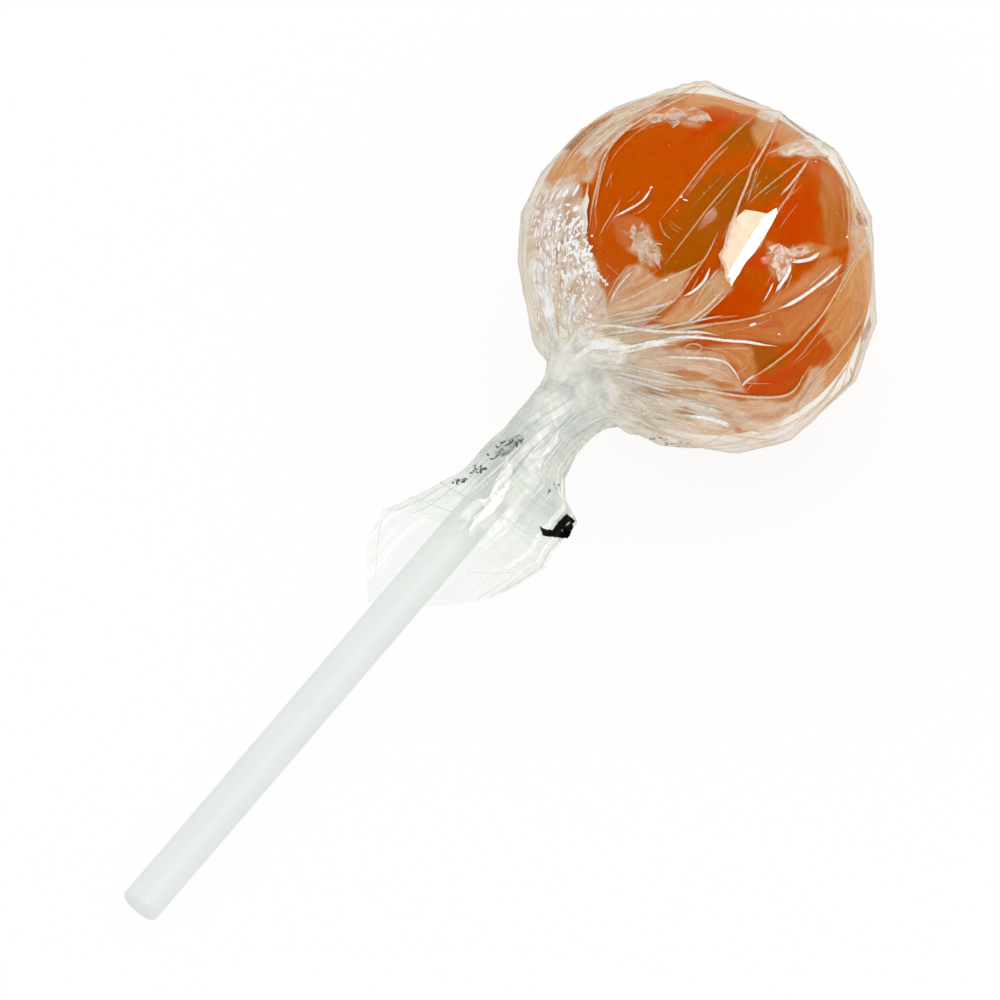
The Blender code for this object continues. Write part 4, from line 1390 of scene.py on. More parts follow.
# Bundles of folds: how many, how cool, extra milkiness, and the two borders they run between
FANS = (
    (34, 1.0, 0.0, ((-14.6, -8.0), (-16.2, -12.0), (-18.6, -16.2), (-22.4, -19.6), (-27.0, -22.3)),
     ((-4.5, -15.2), (-8.6, -15.6), (-12.0, -17.8), (-13.8, -20.8), (-14.6, -24.6))),
    (30, 0.5, 0.25, ((-10.4, -8.8), (-7.6, -9.2), (-4.4, -10.0), (-1.0, -10.8), (2.6, -12.2)),
     ((-10.2, -14.2), (-7.6, -15.6), (-4.6, -16.9), (-1.6, -17.6), (1.6, -17.9))),
    (16, 0.4, 0.2, ((-12.6, -6.2), (-10.0, -5.2), (-7.0, -4.6), (-4.0, -4.0), (-1.0, -2.6)),
     ((-11.4, -7.6), (-8.0, -7.6), (-4.6, -7.2), (-1.0, -6.6), (3.0, -6.2))),
    (12, 0.3, 0.2, ((-14.2, 9.6), (-11.6, 12.4), (-8.4, 14.8), (-4.0, 16.8), (0.0, 18.0)),
     ((-11.6, 8.4), (-10.0, 10.8), (-7.4, 13.4), (-4.0, 15.2), (-0.4, 16.6))),
)


def echoes():
    """Fainter creases beside the main ones: shorter, shifted sideways and slightly bent."""
    chance = random.Random(ECHO_SEED)
    lines = []
    for _, _, milk, chain in CREASES.values():
        for _ in range(ECHOES):
            points, _ = even_chain(chain, ECHO_STEP)
            start = chance.uniform(0.0, 0.5)
            stop = start + chance.uniform(0.3, 0.5)
            shift = chance.choice((-1.0, 1.0)) * chance.uniform(0.25, 1.3)
            swing = chance.uniform(-0.5, 0.5)
            part = points[int(start * len(points)):max(int(stop * len(points)), int(start * len(points)) + 3)]
            if len(part) < 3:
                continue
            way = part[-1] - part[0]
            side = np.array((-way[1], way[0])) / max(float(np.hypot(*way)), 1e-6)
            moved = [tuple(point + side * (shift + swing * index / len(part))) for index, point in enumerate(part)]
            if all(math.hypot(x, y) < ECHO_LIMIT for x, y in moved):
                lines.append((chance.uniform(0.08, 0.17), chance.uniform(0.10, 0.34) * (0.5 + milk), tuple(moved)))
    return lines


# Thin grey-brown lines along the outline, painted shade of the film's edge seen edge-on: width, milkiness and points
SHADED_EDGE_LINES = tuple(pointed(row) for row in (
    (0.16, 0.75, (8.1, 15.0, 8.7, 14.4, 9.6, 13.7, 10.9, 12.8, 12.0, 12.5)),
    (0.22, 0.8, (12.2, 12.6, 12.9, 12.3, 13.3, 11.6)),
    (0.22, 0.7, (8.0, 15.1, 8.5, 14.7)),
    (0.14, 0.6, (1.0, 18.0, 2.2, 17.3, 3.2, 16.9, 4.6, 16.5, 5.9, 16.2)),
    (0.1, 0.28, (-9.8, 14.9, -9.0, 15.3, -8.2, 15.2, -6.7, 16.0, -3.4, 17.3, -0.6, 18.2)),
    (0.1, 0.2, (13.6, 10.8, 15.0, 8.8, 16.0, 6.8, 16.8, 4.4, 17.0, 1.0)),
    (0.1, 0.2, (17.0, -3.7, 16.9, -5.6, 16.0, -8.4, 14.8, -11.0, 14.4, -12.3, 12.0, -14.2)),
    (0.1, 0.2, (9.3, -16.1, 7.3, -17.2, 3.2, -18.0, -0.2, -18.1, -3.4, -17.9)),
    (0.1, 0.2, (-12.0, 13.2, -13.8, 11.8, -15.2, 10.0, -16.8, 7.6, -17.7, 5.8, -17.8, 2.8)),
))
# Folds of the loose skirt, the same way
SKIRT_LINES = tuple(pointed(row) for row in (
    (0.3, 0.8, (-20.6, -24.2, -18.4, -25.6, -15.8, -27.3)),
    (0.22, 0.55, (-31.5, -24.4, -28.3, -23.5, -24.6, -22.7, -22.8, -21.5)),
    (0.16, 0.4, (-31.5, -24.4, -32.0, -27.8, -32.2, -31.2)),
    (0.16, 0.45, (-15.3, -27.8, -17.2, -30.0, -19.8, -32.0, -21.0, -32.7)),
    (0.14, 0.35, (-23.2, -30.2, -20.6, -30.4, -18.4, -30.2)),
    (0.22, 0.6, (-26.6, -26.3, -25.1, -27.1, -23.5, -28.0)),
    (0.16, 0.45, (-30.6, -24.0, -27.0, -22.0, -24.0, -20.6)),
))

print("lines along the outline", len(SHADED_EDGE_LINES), "and in the skirt", len(SKIRT_LINES))

# %% [markdown]
# ## Lines made by chance
# The rest of the fine lines is drawn at random from fixed seeds: short bent folds
# in the crinkled panes, soft folds in the bundles, and creases on the sides and
# the back, which the photo doesn't show.

# %% Lines made by chance
# Panes with short bent folds in them, and how many
CRINKLED_PANES = (("crackle", 22), ("top_crackle", 10), ("speckled", 8), ("bottom", 8), ("left_side", 14),
                  ("cap", 6), ("middle", 6), ("small", 6))


def crinkles():
    """Short bent folds inside the panes that are crinkled rather than smooth."""
    chance = random.Random(ECHO_SEED + 3)
    lines = []
    for name, count in CRINKLED_PANES:
        milk, _, corners = PANES[name]
        border = np.array(corners)
        low = border.min(axis=0)
        high = border.max(axis=0)
        made = 0
        while made < count:
            spot = np.array((chance.uniform(low[0], high[0]), chance.uniform(low[1], high[1])))
            if depth_inside(spot[None], corners)[0] < 0.15:
                continue
            made += 1
            heading = chance.uniform(0.0, math.pi)
            reach = chance.uniform(0.25, 0.8)
            chain = []
            for step in (-1.0, -0.3, 0.4, 1.0):
                chain.append((spot[0] + reach * step * math.cos(heading), spot[1] + reach * step * math.sin(heading)))
                heading += chance.uniform(-0.7, 0.7)
            lines.append((chance.uniform(0.10, 0.42), chance.uniform(0.20, 0.75) * (0.5 + milk), tuple(chain)))
    return lines


def between(left, right, count, seed):
    """Soft folds that run between two borders: width, milkiness and chain of each."""
    chance = random.Random(seed)
    left = np.array(left)
    right = np.array(right)
    lines = []
    for _ in range(count):
        share = chance.uniform(0.03, 0.97)
        drift = chance.uniform(-0.12, 0.12)
        first = chance.uniform(0.0, 0.6)
        last = min(1.0, first + chance.uniform(0.25, 0.6))
        chain = []
        for step in np.linspace(first, last, 6):
            spot = step * (len(left) - 1)
            low = min(int(spot), len(left) - 2)
            across = min(max(share + drift * (step - first), 0.02), 0.98)
            one = left[low] + (spot - low) * (left[low + 1] - left[low])
            two = right[low] + (spot - low) * (right[low + 1] - right[low])
            chain.append(tuple(one + across * (two - one)))
        lines.append((chance.uniform(0.12, 0.5), chance.uniform(0.12, 0.45), tuple(chain)))
    return lines


SIDE_LINES = 70  # creases on the sides and the back


def on_side(way):
    """The place and the normal on the sheet along a unit vector from the ball's middle."""
    outward = Vector(TURNED @ way)
    place, normal, _, _ = FILM_TREE.ray_cast(BALL_MIDDLE + outward * SIDE_RAY_START * MM, -outward)
    if normal.dot(outward) < 0.0:
        normal = -normal
    return place, normal


def side_lines():
    """Creases on the sides and the back: most run up from the neck, a few cross the others."""
    chance = random.Random(ECHO_SEED + 2)
    lines = []
    for number in range(SIDE_LINES):
        turn = chance.uniform(0.0, 360.0)
        polar = chance.uniform(95.0, 150.0)
        climb = chance.uniform(18.0, 75.0)
        drift = chance.uniform(-14.0, 14.0) if number % 4 else chance.uniform(-60.0, 60.0)
        bend = chance.uniform(-7.0, 7.0)
        count = max(6, int(climb * 0.9))
        run = []
        for step in range(count):
            share = step / (count - 1)
            way = ways(np.array((polar - climb * share) * DEG),
                       np.array((turn + drift * share + bend * math.sin(math.pi * share)) * DEG))
            if float(way @ SHOWN[2]) < -0.12:
                run.append(way)
        if len(run) >= 5:
            lines.append((chance.uniform(0.10, 0.30), chance.uniform(0.25, 0.65), run))
    return lines


# %% [markdown]
# ## Threads of doubled film
# All lines become one mesh of edges. A Geometry Nodes tree sweeps a thin round
# thread along them, as wide as each point says.

# %% Crease threads by Geometry Nodes
def crease_lines():
    """All creases as one mesh of edges, with a width and a milkiness at each point."""
    chance = random.Random(THREAD_SEED)
    points, edges, widths, milks, cools = [], [], [], [], []
    lines = [(width, milk, chain, 0.0) for _, width, milk, chain in CREASES.values()]
    lines += [(width, milk, chain, 0.0) for width, milk, chain in echoes() + crinkles()]
    for count, cool, more, left, right in FANS:
        lines += [(width, more + milk, chain, cool) for width, milk, chain in between(left, right, count, count)]
    lines += [(width, milk, chain, SKIRT_COOL) for width, milk, chain in SKIRT_LINES]
    lines += [(width, milk, chain, EDGE_SHADE) for width, milk, chain in SHADED_EDGE_LINES]
    runs = []
    for width, milk, chain, cool in lines:
        spots, share = even_chain(chain, THREAD_STEP)
        runs.append((width, milk, cool, share, [on_film(x, y) for x, y in spots]))
    for width, milk, run in side_lines():
        runs.append((width, milk, 0.0, np.linspace(0.0, 1.0, len(run)), [on_side(way) for way in run]))
    for width, milk, cool, share, spots in runs:
        vary = 0.85
        for index, ((place, normal), part) in enumerate(zip(spots, share)):
            taper = min(1.0, 0.15 + 5.0 * part, 0.15 + 5.0 * (1.0 - part))
            vary += (0.35 if width < 0.3 else 0.12) * (0.55 + 0.6 * chance.random() - vary)
            if index:
                edges.append((len(points) - 1, len(points)))
            spot = place + normal * THREAD_LIFT * MM
            spot.z = max(spot.z, (0.5 * width + TABLE_GAP) * MM)
            points.append(spot)
            widths.append(0.5 * width * MM * taper * vary)
            milks.append(milk * (0.55 + 0.45 * taper))
            cools.append(cool)
    data = bpy.data.meshes.new("crease_lines")
    data.from_pydata(points, edges, [])
    for name, values in (("width", widths), ("milk", milks), ("cool", cools)):
        add_attribute(data, name, values)
    return data


def make_threads(material):
    """A round thread along every crease, as one mesh."""
    rule = Rule("crease_threads", {"Swell": 1.0})
    lines = rule.node("GeometryNodeMeshToCurve", None, {0: rule.given()})
    width = rule.stored("width", "FLOAT") * rule.given("Swell")
    return rule.baked("crease_threads", rule.sweep(lines, width, THREAD_SIDES), material, crease_lines())


THREADS = make_threads(crease_finish())
print("thread faces", len(THREADS.data.polygons))

# %% [markdown]
# ## Flat folds: bits of doubled film
# Some folds lie flat: the pane that mirrors the window, opaque white folds at
# the neck and on the skirt that are painted highlights, crinkled lacy spots, and
# tan ones where the candy shows through. Each is an outline on the shown face,
# filled with triangles, laid on the sheet and given a thin body, so that its edge
# is crisp. Its kind chooses its finish.

# %% Patches of doubled film
PATCH_STEP = 0.35
PATCH_LIFT = 0.05
PATCH_BODY = 0.03
WHITE_FILM = srgb(252, 250, 247)
CREAM_FILM = srgb(255, 238, 192)
TAN_FILM = srgb(190, 128, 70)
LACE_FILM = srgb(246, 220, 200)
INKED_FILM = srgb(84, 106, 112)
# Each small fold: its kind, and its corners x, y on the shown face
SMALL_PATCHES = tuple(pointed(row) for row in (
    ("smooth", (-19.4, -18.8, -18.7, -19.8, -18.8, -21.2, -19.8, -23.3, -20.6, -24.3, -22.2, -25.4, -23.0, -26.7,
        -23.7, -27.6, -23.4, -26.4, -22.5, -24.8, -21.4, -23.9, -22.2, -23.1, -21.1, -23.1, -20.4, -21.4,
        -19.6, -19.8)),
    ("smooth", (-12.45, -8.9, -11.1, -7.8, -10.5, -7.0, -9.6, -7.2, -8.5, -7.8, -6.75, -8.0, -4.5, -7.5, -2.0, -7.2,
        -0.1, -6.95, -2.0, -7.45, -4.1, -7.85, -6.3, -8.4, -7.6, -8.7, -9.4, -8.4, -10.7, -8.3, -11.8, -9.0,
        -13.3, -9.8)),
    ("mottled", (-16.9, 0.6, -16.0, 0.4, -15.4, -0.6, -15.2, -2.0, -14.8, -3.4, -14.4, -5.0, -14.2, -6.6, -14.9, -6.4,
        -15.7, -5.0, -16.4, -3.0, -16.8, -1.0)),
    ("smooth", (-11.4, 7.1, -11.2, 6.2, -11.45, 5.2, -11.35, 3.9, -11.6, 2.6, -11.9, 3.9, -11.8, 5.3, -12.1, 5.4,
        -11.8, 6.2)),
    ("mottled", (-12.8, -2.6, -12.5, -3.4, -12.9, -5.0, -13.2, -6.6, -13.6, -5.2, -13.2, -3.8)),
    ("smooth", (-14.2, -16.3, -14.9, -17.0, -15.8, -18.0, -17.4, -19.1, -16.0, -19.0, -14.9, -18.3, -14.3, -17.2)),
    ("lacy", (-8.2, 3.2, -7.3, 3.0, -7.0, 3.9, -6.5, 3.1, -6.0, 4.1, -5.8, 2.7, -5.1, 2.2, -5.0, 1.2, -4.4, 0.6,
        -4.3, -0.6, -4.9, 0.1, -5.3, -0.4, -5.7, 0.5, -6.4, -0.1, -6.5, 1.1, -7.2, 1.4, -6.9, 2.2)),
    ("lacy", (-5.8, 14.4, -4.8, 15.0, -3.9, 14.7, -2.9, 15.5, -1.8, 15.0, -0.9, 15.5, 0.5, 14.8, 0.9, 14.0,
        -0.4, 14.1, -1.2, 13.4, -2.0, 14.0, -3.0, 13.3, -3.6, 14.1, -4.9, 13.8)),
    ("lacy", (6.2, 1.5, 7.2, 1.9, 8.3, 1.3, 9.4, 1.8, 10.8, 1.3, 9.6, 0.7, 8.4, 0.4, 8.1, -0.8, 7.2, -1.9, 6.9, -0.7,
        6.4, -0.2, 6.8, 0.7)),
    ("lacy", (-11.2, -1.6, -10.2, -2.4, -9.6, -3.6, -9.4, -5.0, -10.4, -5.8, -11.6, -5.4, -12.0, -3.8, -11.4, -2.8)),
    ("inked", (-20.7, -18.6, -19.9, -17.7, -18.9, -17.0, -18.0, -16.7, -17.5, -17.2, -18.4, -17.7, -18.9, -18.5,
        -19.8, -18.9)),
    ("tan", (-13.7, 11.5, -13.1, 12.5, -11.6, 13.6, -9.6, 14.7, -8.7, 15.0, -9.4, 14.3, -10.9, 13.1, -12.2, 11.9,
        -13.0, 11.3)),
    ("tan", (-4.1, 16.2, -3.4, 16.7, -2.6, 17.0, -3.0, 16.6, -3.7, 16.1)),
    ("tan", (15.2, 5.6, 16.2, 4.6, 16.4, 3.9, 15.6, 3.9, 15.1, 4.7)),
    ("tan", (16.5, -5.0, 16.7, -5.8, 16.2, -7.2, 15.6, -7.6, 15.9, -6.4)),
    ("smooth", (-2.0, -14.7, -0.4, -14.8, 1.2, -15.0, 2.6, -15.9, 1.2, -15.5, -0.4, -15.1)),
))


def filled(corners, step):
    """Points and triangles that fill an outline."""
    flat = np.array(corners)
    xs, ys = np.meshgrid(np.arange(flat[:, 0].min(), flat[:, 0].max(), step),
                         np.arange(flat[:, 1].min(), flat[:, 1].max(), step))
    grid = np.stack((xs.ravel(), ys.ravel()), -1)
    inner = grid[depth_inside(grid, tuple(corners)) > 0.45 * step]
    points = [Vector(point) for point in np.concatenate((flat, inner)).tolist()]
    outline = [tuple(range(len(flat)))]
    verts, _, faces, _, _, _ = delaunay_2d_cdt(points, [], outline, 1, 1e-5)
    return [(vert.x, vert.y) for vert in verts], faces


def patch_body(name, places, normals, faces, body):
    """A closed thin mesh: the given faces, their copy underneath and a rim."""
    count = len(places)
    under = [place - normal * body * MM for place, normal in zip(places, normals)]
    mesh = bmesh.new()
    verts = [mesh.verts.new(place) for place in places + under]
    for face in faces:
        mesh.faces.new([verts[index] for index in face])
        mesh.faces.new([verts[count + index] for index in reversed(face)])
    mesh.verts.index_update()
    rim = [edge for edge in mesh.edges if edge.is_boundary]
    for edge in rim:
        first, second = (vert.index for vert in edge.verts)
        if first < count and second < count:
            mesh.faces.new((verts[first], verts[second], verts[count + second], verts[count + first]))
    bmesh.ops.recalc_face_normals(mesh, faces=mesh.faces)
    data = bpy.data.meshes.new(name)
    mesh.to_mesh(data)
    mesh.free()
    return link(bpy.data.objects.new(name, data))


def draped(name, corners, lift, body):
    """A patch laid on the sheet."""
    flat, faces = filled(corners, PATCH_STEP)
    spots = [on_film(x, y) for x, y in flat]
    places = [place + normal * lift * MM for place, normal in spots]
    return patch_body(name, places, [normal for _, normal in spots], faces, body)


def patch_finish(name, haze_low, haze_high, gloss, rough_by, colour=WHITE_FILM, grain=0.5):
    """Doubled film, lying flat: milkier than one layer."""
    graph = Finish(name)
    cloud = graph.noise(grain, 4.0, 0.8)
    haze = cloud.step(0.35, 0.65, haze_low, haze_high)
    bump = graph.bump(cloud, 0.03, 0.05)
    shine = graph.noise(0.22, 3.0, 0.8).step(0.42, 0.56, 0.85, 1.0)
    return graph.finish(film_look(graph, haze, colour, bump, gloss, rough_by, shine, NO_LOSS))


SHINY = draped("window_fold", FLAT_PANES["window_pane"][1], PATCH_LIFT, PATCH_BODY)
SHINY.data.materials.append(patch_finish("window_fold", 0.28, 0.34, 0.135, 0.05, CREAM_FILM))
GLARE = draped("window_glare", WINDOW_GLARE, 2.0 * PATCH_LIFT + PATCH_BODY, PATCH_BODY)
GLARE.data.materials.append(patch_finish("window_glare", 0.10, 0.30, 0.50, 0.05))
SMALL_FOLDS = []
FOLD_FINISHES = {
    # Smooth folds are opaque white, painted highlights; mottled ones are milky film, painted white as highlight where
    # the noise is high
    "smooth": patch_finish("smooth_fold", 0.78, 1.0, 0.1, 0.3),
    "mottled": patch_finish("mottled_fold", 0.30, 1.0, 0.1, 0.3),
    "lacy": patch_finish("lacy_fold", 0.0, 0.62, 0.05, 0.4, LACE_FILM, 1.1),
    "inked": patch_finish("inked_fold", 0.02, 0.36, 0.05, 0.4, INKED_FILM, 0.9),
    "tan": patch_finish("tan_fold", 0.12, 0.46, 0.05, 0.4, TAN_FILM),
}
for number, (kind, corners) in enumerate(SMALL_PATCHES):
    fold = draped(kind + "_fold_" + str(number), corners, PATCH_LIFT, PATCH_BODY)
    fold.data.materials.append(FOLD_FINISHES[kind])
    SMALL_FOLDS.append(fold)
print("window fold faces", len(SHINY.data.polygons), "small folds", len(SMALL_FOLDS))

# %% [markdown]
# ## Marks of print on the film, and painted glints
# The film carries small print, white on the left of the ball and dark near the
# neck. Here it is only short bars and dots in rows, so it says nothing. White
# beads also serve as painted glints: loose flecks where crinkled film would catch
# the light, and single bright dots. A Geometry Nodes tree puts one small
# flattened bead on every point, turned to lie on the surface.

# %% Print marks by Geometry Nodes
MARK_THICKNESS = 0.04
MARK_LIFT = 0.03
ROW_TILT = 13.0
WHITE_ROWS = 6
ROW_LEFT = -16.8
ROW_RIGHT = -11.9
ROW_TOP = 6.2
ROW_PITCH = 1.58
# Loose white flecks: painted glints of crinkled film
GLINT_FLECKS = 300
EDGE_BEADS = 12
# Where dark print is: at the neck, at the right shoulder and at the ball's lower rim
DARK_SPOTS = pairs((
    -24.3, -21.3, -23.9, -21.0, -23.5, -21.2, -22.5, -20.4, -22.1, -20.1, -21.7, -20.2, -19.9, -18.1, -19.4, -17.8,
    -19.0, -17.5, -18.6, -17.7, -18.1, -17.4, -19.6, -17.4, -14.9, -22.4, -14.4, -21.8, -4.7, -17.0, -4.2, -16.8,
    -3.7, -17.2, -3.4, -17.5, -2.7, -17.4, -2.2, -17.6, -1.6, -17.7,
))
NECK_INK = 1.9  # marks near the neck are this much bigger than those at the rim
PRINT_SEED = 31


def print_and_glint_marks():
    """Rows of bars and dots, painted glints as loose flecks and single bright dots, and a row of beads along an edge:
    middle x, y, length, width, tilt.
    """
    chance = random.Random(PRINT_SEED)
    marks = []
    for row in range(WHITE_ROWS):
        tall = 1.5 - 0.06 * row
        x = ROW_LEFT + 0.10 * row * row
        while x < ROW_RIGHT + 0.22 * row:
            y = ROW_TOP - ROW_PITCH * row + (x + 16.9) * math.tan(ROW_TILT * DEG)
            kind = chance.random()
            if row == 0:
                wide = 0.46 if kind < 0.55 else 0.80
                marks.append((x, y, 1.1 * tall if kind < 0.55 else 0.75 * tall, wide, 80.0 + chance.uniform(-6.0, 6.0)))
                x += 0.20 + wide
                continue
            if kind < 0.45:
                marks.append((x, y, tall, 0.42, 78.0 + chance.uniform(-14.0, 14.0)))
                marks.append((x + 0.25, y - 0.15 * tall, 0.5 * tall, 0.32, chance.uniform(0.0, 40.0)))
            elif kind < 0.80:
                marks.append((x, y - 0.15 * tall, 0.62 * tall, 0.48 * tall, chance.uniform(0.0, 90.0)))
            else:
                marks.append((x, y + 0.25 * tall, 0.6 * tall, 0.32, chance.uniform(-20.0, 50.0)))
                marks.append((x, y - 0.3 * tall, 0.5 * tall, 0.32, chance.uniform(-20.0, 50.0)))
            x += chance.uniform(0.40, 0.56) * tall
    # Loose flecks: painted glints where the crinkled film would catch the light
    for _ in range(GLINT_FLECKS):
        x = chance.uniform(-17.0, -10.6)
        y = chance.uniform(-7.0, 4.6)
        if math.hypot(x, y) < 17.3 and y > -1.3 * (x + 17.0) - 8.5 and x < -10.4 + 0.25 * (-1.0 - y):
            marks.append((x, y, chance.uniform(0.2, 0.8), chance.uniform(0.14, 0.36), chance.uniform(40.0, 150.0)))
    # Single bright dots: painted glints
    for x, y, size in ((-10.95, 2.7, 0.34), (-5.2, 7.35, 0.34), (-2.3, 6.4, 0.34), (14.1, 2.7, 0.36),
                       (-3.8, -1.7, 0.40), (-9.7, -1.7, 0.40), (7.3, -6.9, 0.30), (11.1, 10.15, 0.26)):
        marks.append((x, y, size, 0.7 * size, 20.0))
    for step in range(EDGE_BEADS):
        marks.append((-12.7 + 0.29 * step, 1.9 - 0.36 * step, 0.50, 0.28, 30.0 + chance.uniform(-25.0, 25.0)))
    # Two more bright dots: painted glints
    marks.append((4.7, -6.0, 0.80, 0.34, 15.0))
    marks.append((-1.9, 6.1, 0.60, 0.16, -15.0))
    return marks


def dark_marks():
    """Dark bars and dots near the neck and at the lower rim."""
    chance = random.Random(PRINT_SEED + 1)
    marks = [(-21.1, -18.75, 0.55, 0.20, -50.0), (-20.7, -19.1, 0.60, 0.20, 5.0), (-20.3, -18.85, 0.45, 0.18, 60.0)]
    for x, y in DARK_SPOTS:
        big = NECK_INK if x < -17.0 else 1.0
        for _ in range(3):
            marks.append((x + chance.uniform(-0.3, 0.3), y + chance.uniform(-0.22, 0.22),
                          big * chance.uniform(0.16, 0.42), big * chance.uniform(0.09, 0.16),
                          chance.uniform(0.0, 180.0)))
    return marks


def mark_points(name, marks):
    """A mesh of points on the film with the turn and size of each mark."""
    places, turns, sizes = [], [], []
    for x, y, length, width, tilt in marks:
        place, normal = on_film(x, y)
        along = Vector(math.cos(tilt * DEG) * RIGHT + math.sin(tilt * DEG) * UP)
        along = (along - normal * along.dot(normal)).normalized()
        side = normal.cross(along)
        turned = Matrix((along, side, normal)).transposed().to_euler()
        places.append(place + normal * MARK_LIFT * MM)
        turns.append(tuple(turned))
        sizes.append((length * MM, width * MM, MARK_THICKNESS * MM))
    data = bpy.data.meshes.new(name)
    data.from_pydata(places, [], [])
    add_attribute(data, "turned", turns)
    add_attribute(data, "sized", sizes)
    return data


def print_finish(name, first, second, cover):
    """Printing ink on film, patchy."""
    graph = Finish(name)
    patchy = graph.noise(2.4, 3.0, 0.5)
    shader = graph.principled({
        "Base Color": graph.blend(patchy, first, second), "Roughness": 0.4 + 0.2 * patchy,
        "Alpha": patchy.step(0.2, 0.5, cover, 1.0), "Specular IOR Level": 0.2})
    return graph.finish(shader)


def make_marks(name, marks, material):
    """All marks of one ink as one mesh: a small flattened bead on every point."""
    rule = Rule("print_marks", {"Swell": 1.0})
    turned = rule.node("FunctionNodeEulerToRotation", None, {0: rule.stored("turned", "FLOAT_VECTOR")})
    size = rule.scaled(rule.stored("sized", "FLOAT_VECTOR"), rule.given("Swell"))
    beads = rule.beads(rule.given(), 0.5, turned, size)
    return rule.baked(name, beads, material, mark_points(name + "_points", marks))


# White ink: the print, and the painted glints among it
WHITE_PRINT_AND_GLINTS = make_marks("white_print_and_glints", print_and_glint_marks(), print_finish(
    "white_ink", srgb(248, 245, 243), srgb(255, 254, 253), 0.7))
DARK_PRINT = make_marks("dark_print", dark_marks(), print_finish(
    "dark_ink", srgb(40, 56, 60), srgb(96, 112, 116), 0.35))
print("white marks", len(print_and_glint_marks()), "dark marks", len(dark_marks()))

# %% [markdown]
# ## Bubbles in the sugar
# Boiled sugar holds small bubbles of air. A Geometry Nodes tree scatters low
# domes over the candy's skin, each sunk half into it, with sizes drawn at random.

# %% Bubbles by Geometry Nodes
BUBBLES_PER_SQUARE_METRE = 90000.0
BUBBLE_SEED = 7
SMALLEST_BUBBLE = 0.04
LARGEST_BUBBLE = 0.13
BUBBLE_HEIGHT = 0.35


def bubble_finish():
    """A bubble's skin: paler amber, glossy."""
    graph = Finish("bubble_skin")
    vary = graph.noise(0.8, 2.0)
    shader = graph.principled({
        "Base Color": graph.blend(vary.step(0.35, 0.65), srgb(208, 100, 8), srgb(236, 160, 74)),
        "Roughness": 0.15 + 0.2 * vary, "Specular IOR Level": 0.4})
    return graph.finish(shader)


def make_bubbles(material):
    """Small domes scattered over the candy, sunk half into it, as one mesh."""
    rule = Rule("sugar_bubbles", {
        "Density": BUBBLES_PER_SQUARE_METRE, "Smallest": SMALLEST_BUBBLE * MM, "Largest": LARGEST_BUBBLE * MM})
    spread = rule.node("GeometryNodeDistributePointsOnFaces", None, {
        "Mesh": rule.given(), "Density": rule.given("Density"), "Seed": BUBBLE_SEED}, "Points")
    turned = Wire(rule, spread.socket.node.outputs["Rotation"])
    size = rule.node("FunctionNodeRandomValue", {"data_type": "FLOAT"}, {
        2: rule.given("Smallest"), 3: rule.given("Largest"), "Seed": BUBBLE_SEED}, 1)
    dome = rule.node("ShaderNodeCombineXYZ", None, {0: 1.0, 1: 1.0, 2: BUBBLE_HEIGHT})
    return rule.baked("sugar_bubbles", rule.beads(spread, 1.0, turned, rule.scaled(dome, size)), material,
                      CANDY.data.copy())


BUBBLES = make_bubbles(bubble_finish())
print("bubble faces", len(BUBBLES.data.polygons))

# %% [markdown]
# ## The black register mark
# A printed black patch sits on the right shoulder of the skirt, where the film
# is folded over. The patch is an outline with small jags, laid over the film so
# that it follows the shoulder, nearest to the film along one fold, and given a
# thin body.

# %% Black mark
BLACK_OUTLINE = pairs((
    -13.43, -24.46, -13.01, -24.78, -12.51, -25.2, -12.86, -25.47, -12.76, -25.82, -12.96, -26.27, -13.11, -26.71,
    -13.34, -26.94, -14.0, -26.86, -14.33, -26.78, -15.09, -26.76, -15.84, -26.56, -15.89, -26.22, -16.07, -25.7,
    -15.59, -25.97, -14.83, -26.12, -14.33, -25.45,
))
# How far the patch stands off the film: x on the shown face, and the height there
BLACK_FOLD_LINES = ((-14.4, 0.20), (-13.4, 0.12), (-12.9, 0.20))
BLACK_BODY = 0.10
BLACK_STEP = 0.5
JAG_STEP = 0.16
JAG_REACH = 0.055
JAG_SEED = 4


def jagged(corners):
    """An outline with small jags along its edges, as ink breaks at a fold."""
    chance = random.Random(JAG_SEED)
    points = []
    for start, stop in zip(corners, corners[1:] + corners[:1]):
        way = (stop[0] - start[0], stop[1] - start[1])
        length = math.hypot(*way)
        count = max(1, round(length / JAG_STEP))
        for step in range(count):
            out = chance.uniform(-JAG_REACH, JAG_REACH) if step else 0.0
            points.append((start[0] + way[0] * step / count - out * way[1] / length,
                           start[1] + way[1] * step / count + out * way[0] / length))
    return tuple(points)


def black_ink():
    """Dense black ink on film, slightly glossy, worn at the folds."""
    graph = Finish("black_ink")
    worn = graph.noise(2.0, 4.0, 0.6)
    shader = graph.principled({
        "Base Color": graph.blend(worn.step(0.45, 0.75), srgb(6, 4, 3), srgb(26, 22, 20)),
        "Roughness": 0.6 + 0.2 * worn, "Specular IOR Level": 0.06,
        "Normal": graph.bump(worn, 0.3, 0.1)})
    return graph.finish(shader)


def film_depths(flat):
    """How near the camera the sheet is under each point; off its edge it is carried on from beside."""
    depths = []
    for x, y in flat:
        place, _ = film_under(FACE_SCALE * (x * RIGHT + y * UP))
        depths.append(None if place is None else (place - BALL_MIDDLE).dot(Vector(BACK)) / MM)
    known = np.array(sorted((x, depth) for (x, _), depth in zip(flat, depths) if depth is not None))
    return [float(np.interp(x, known[:, 0], known[:, 1])) if depth is None else depth
            for (x, _), depth in zip(flat, depths)]


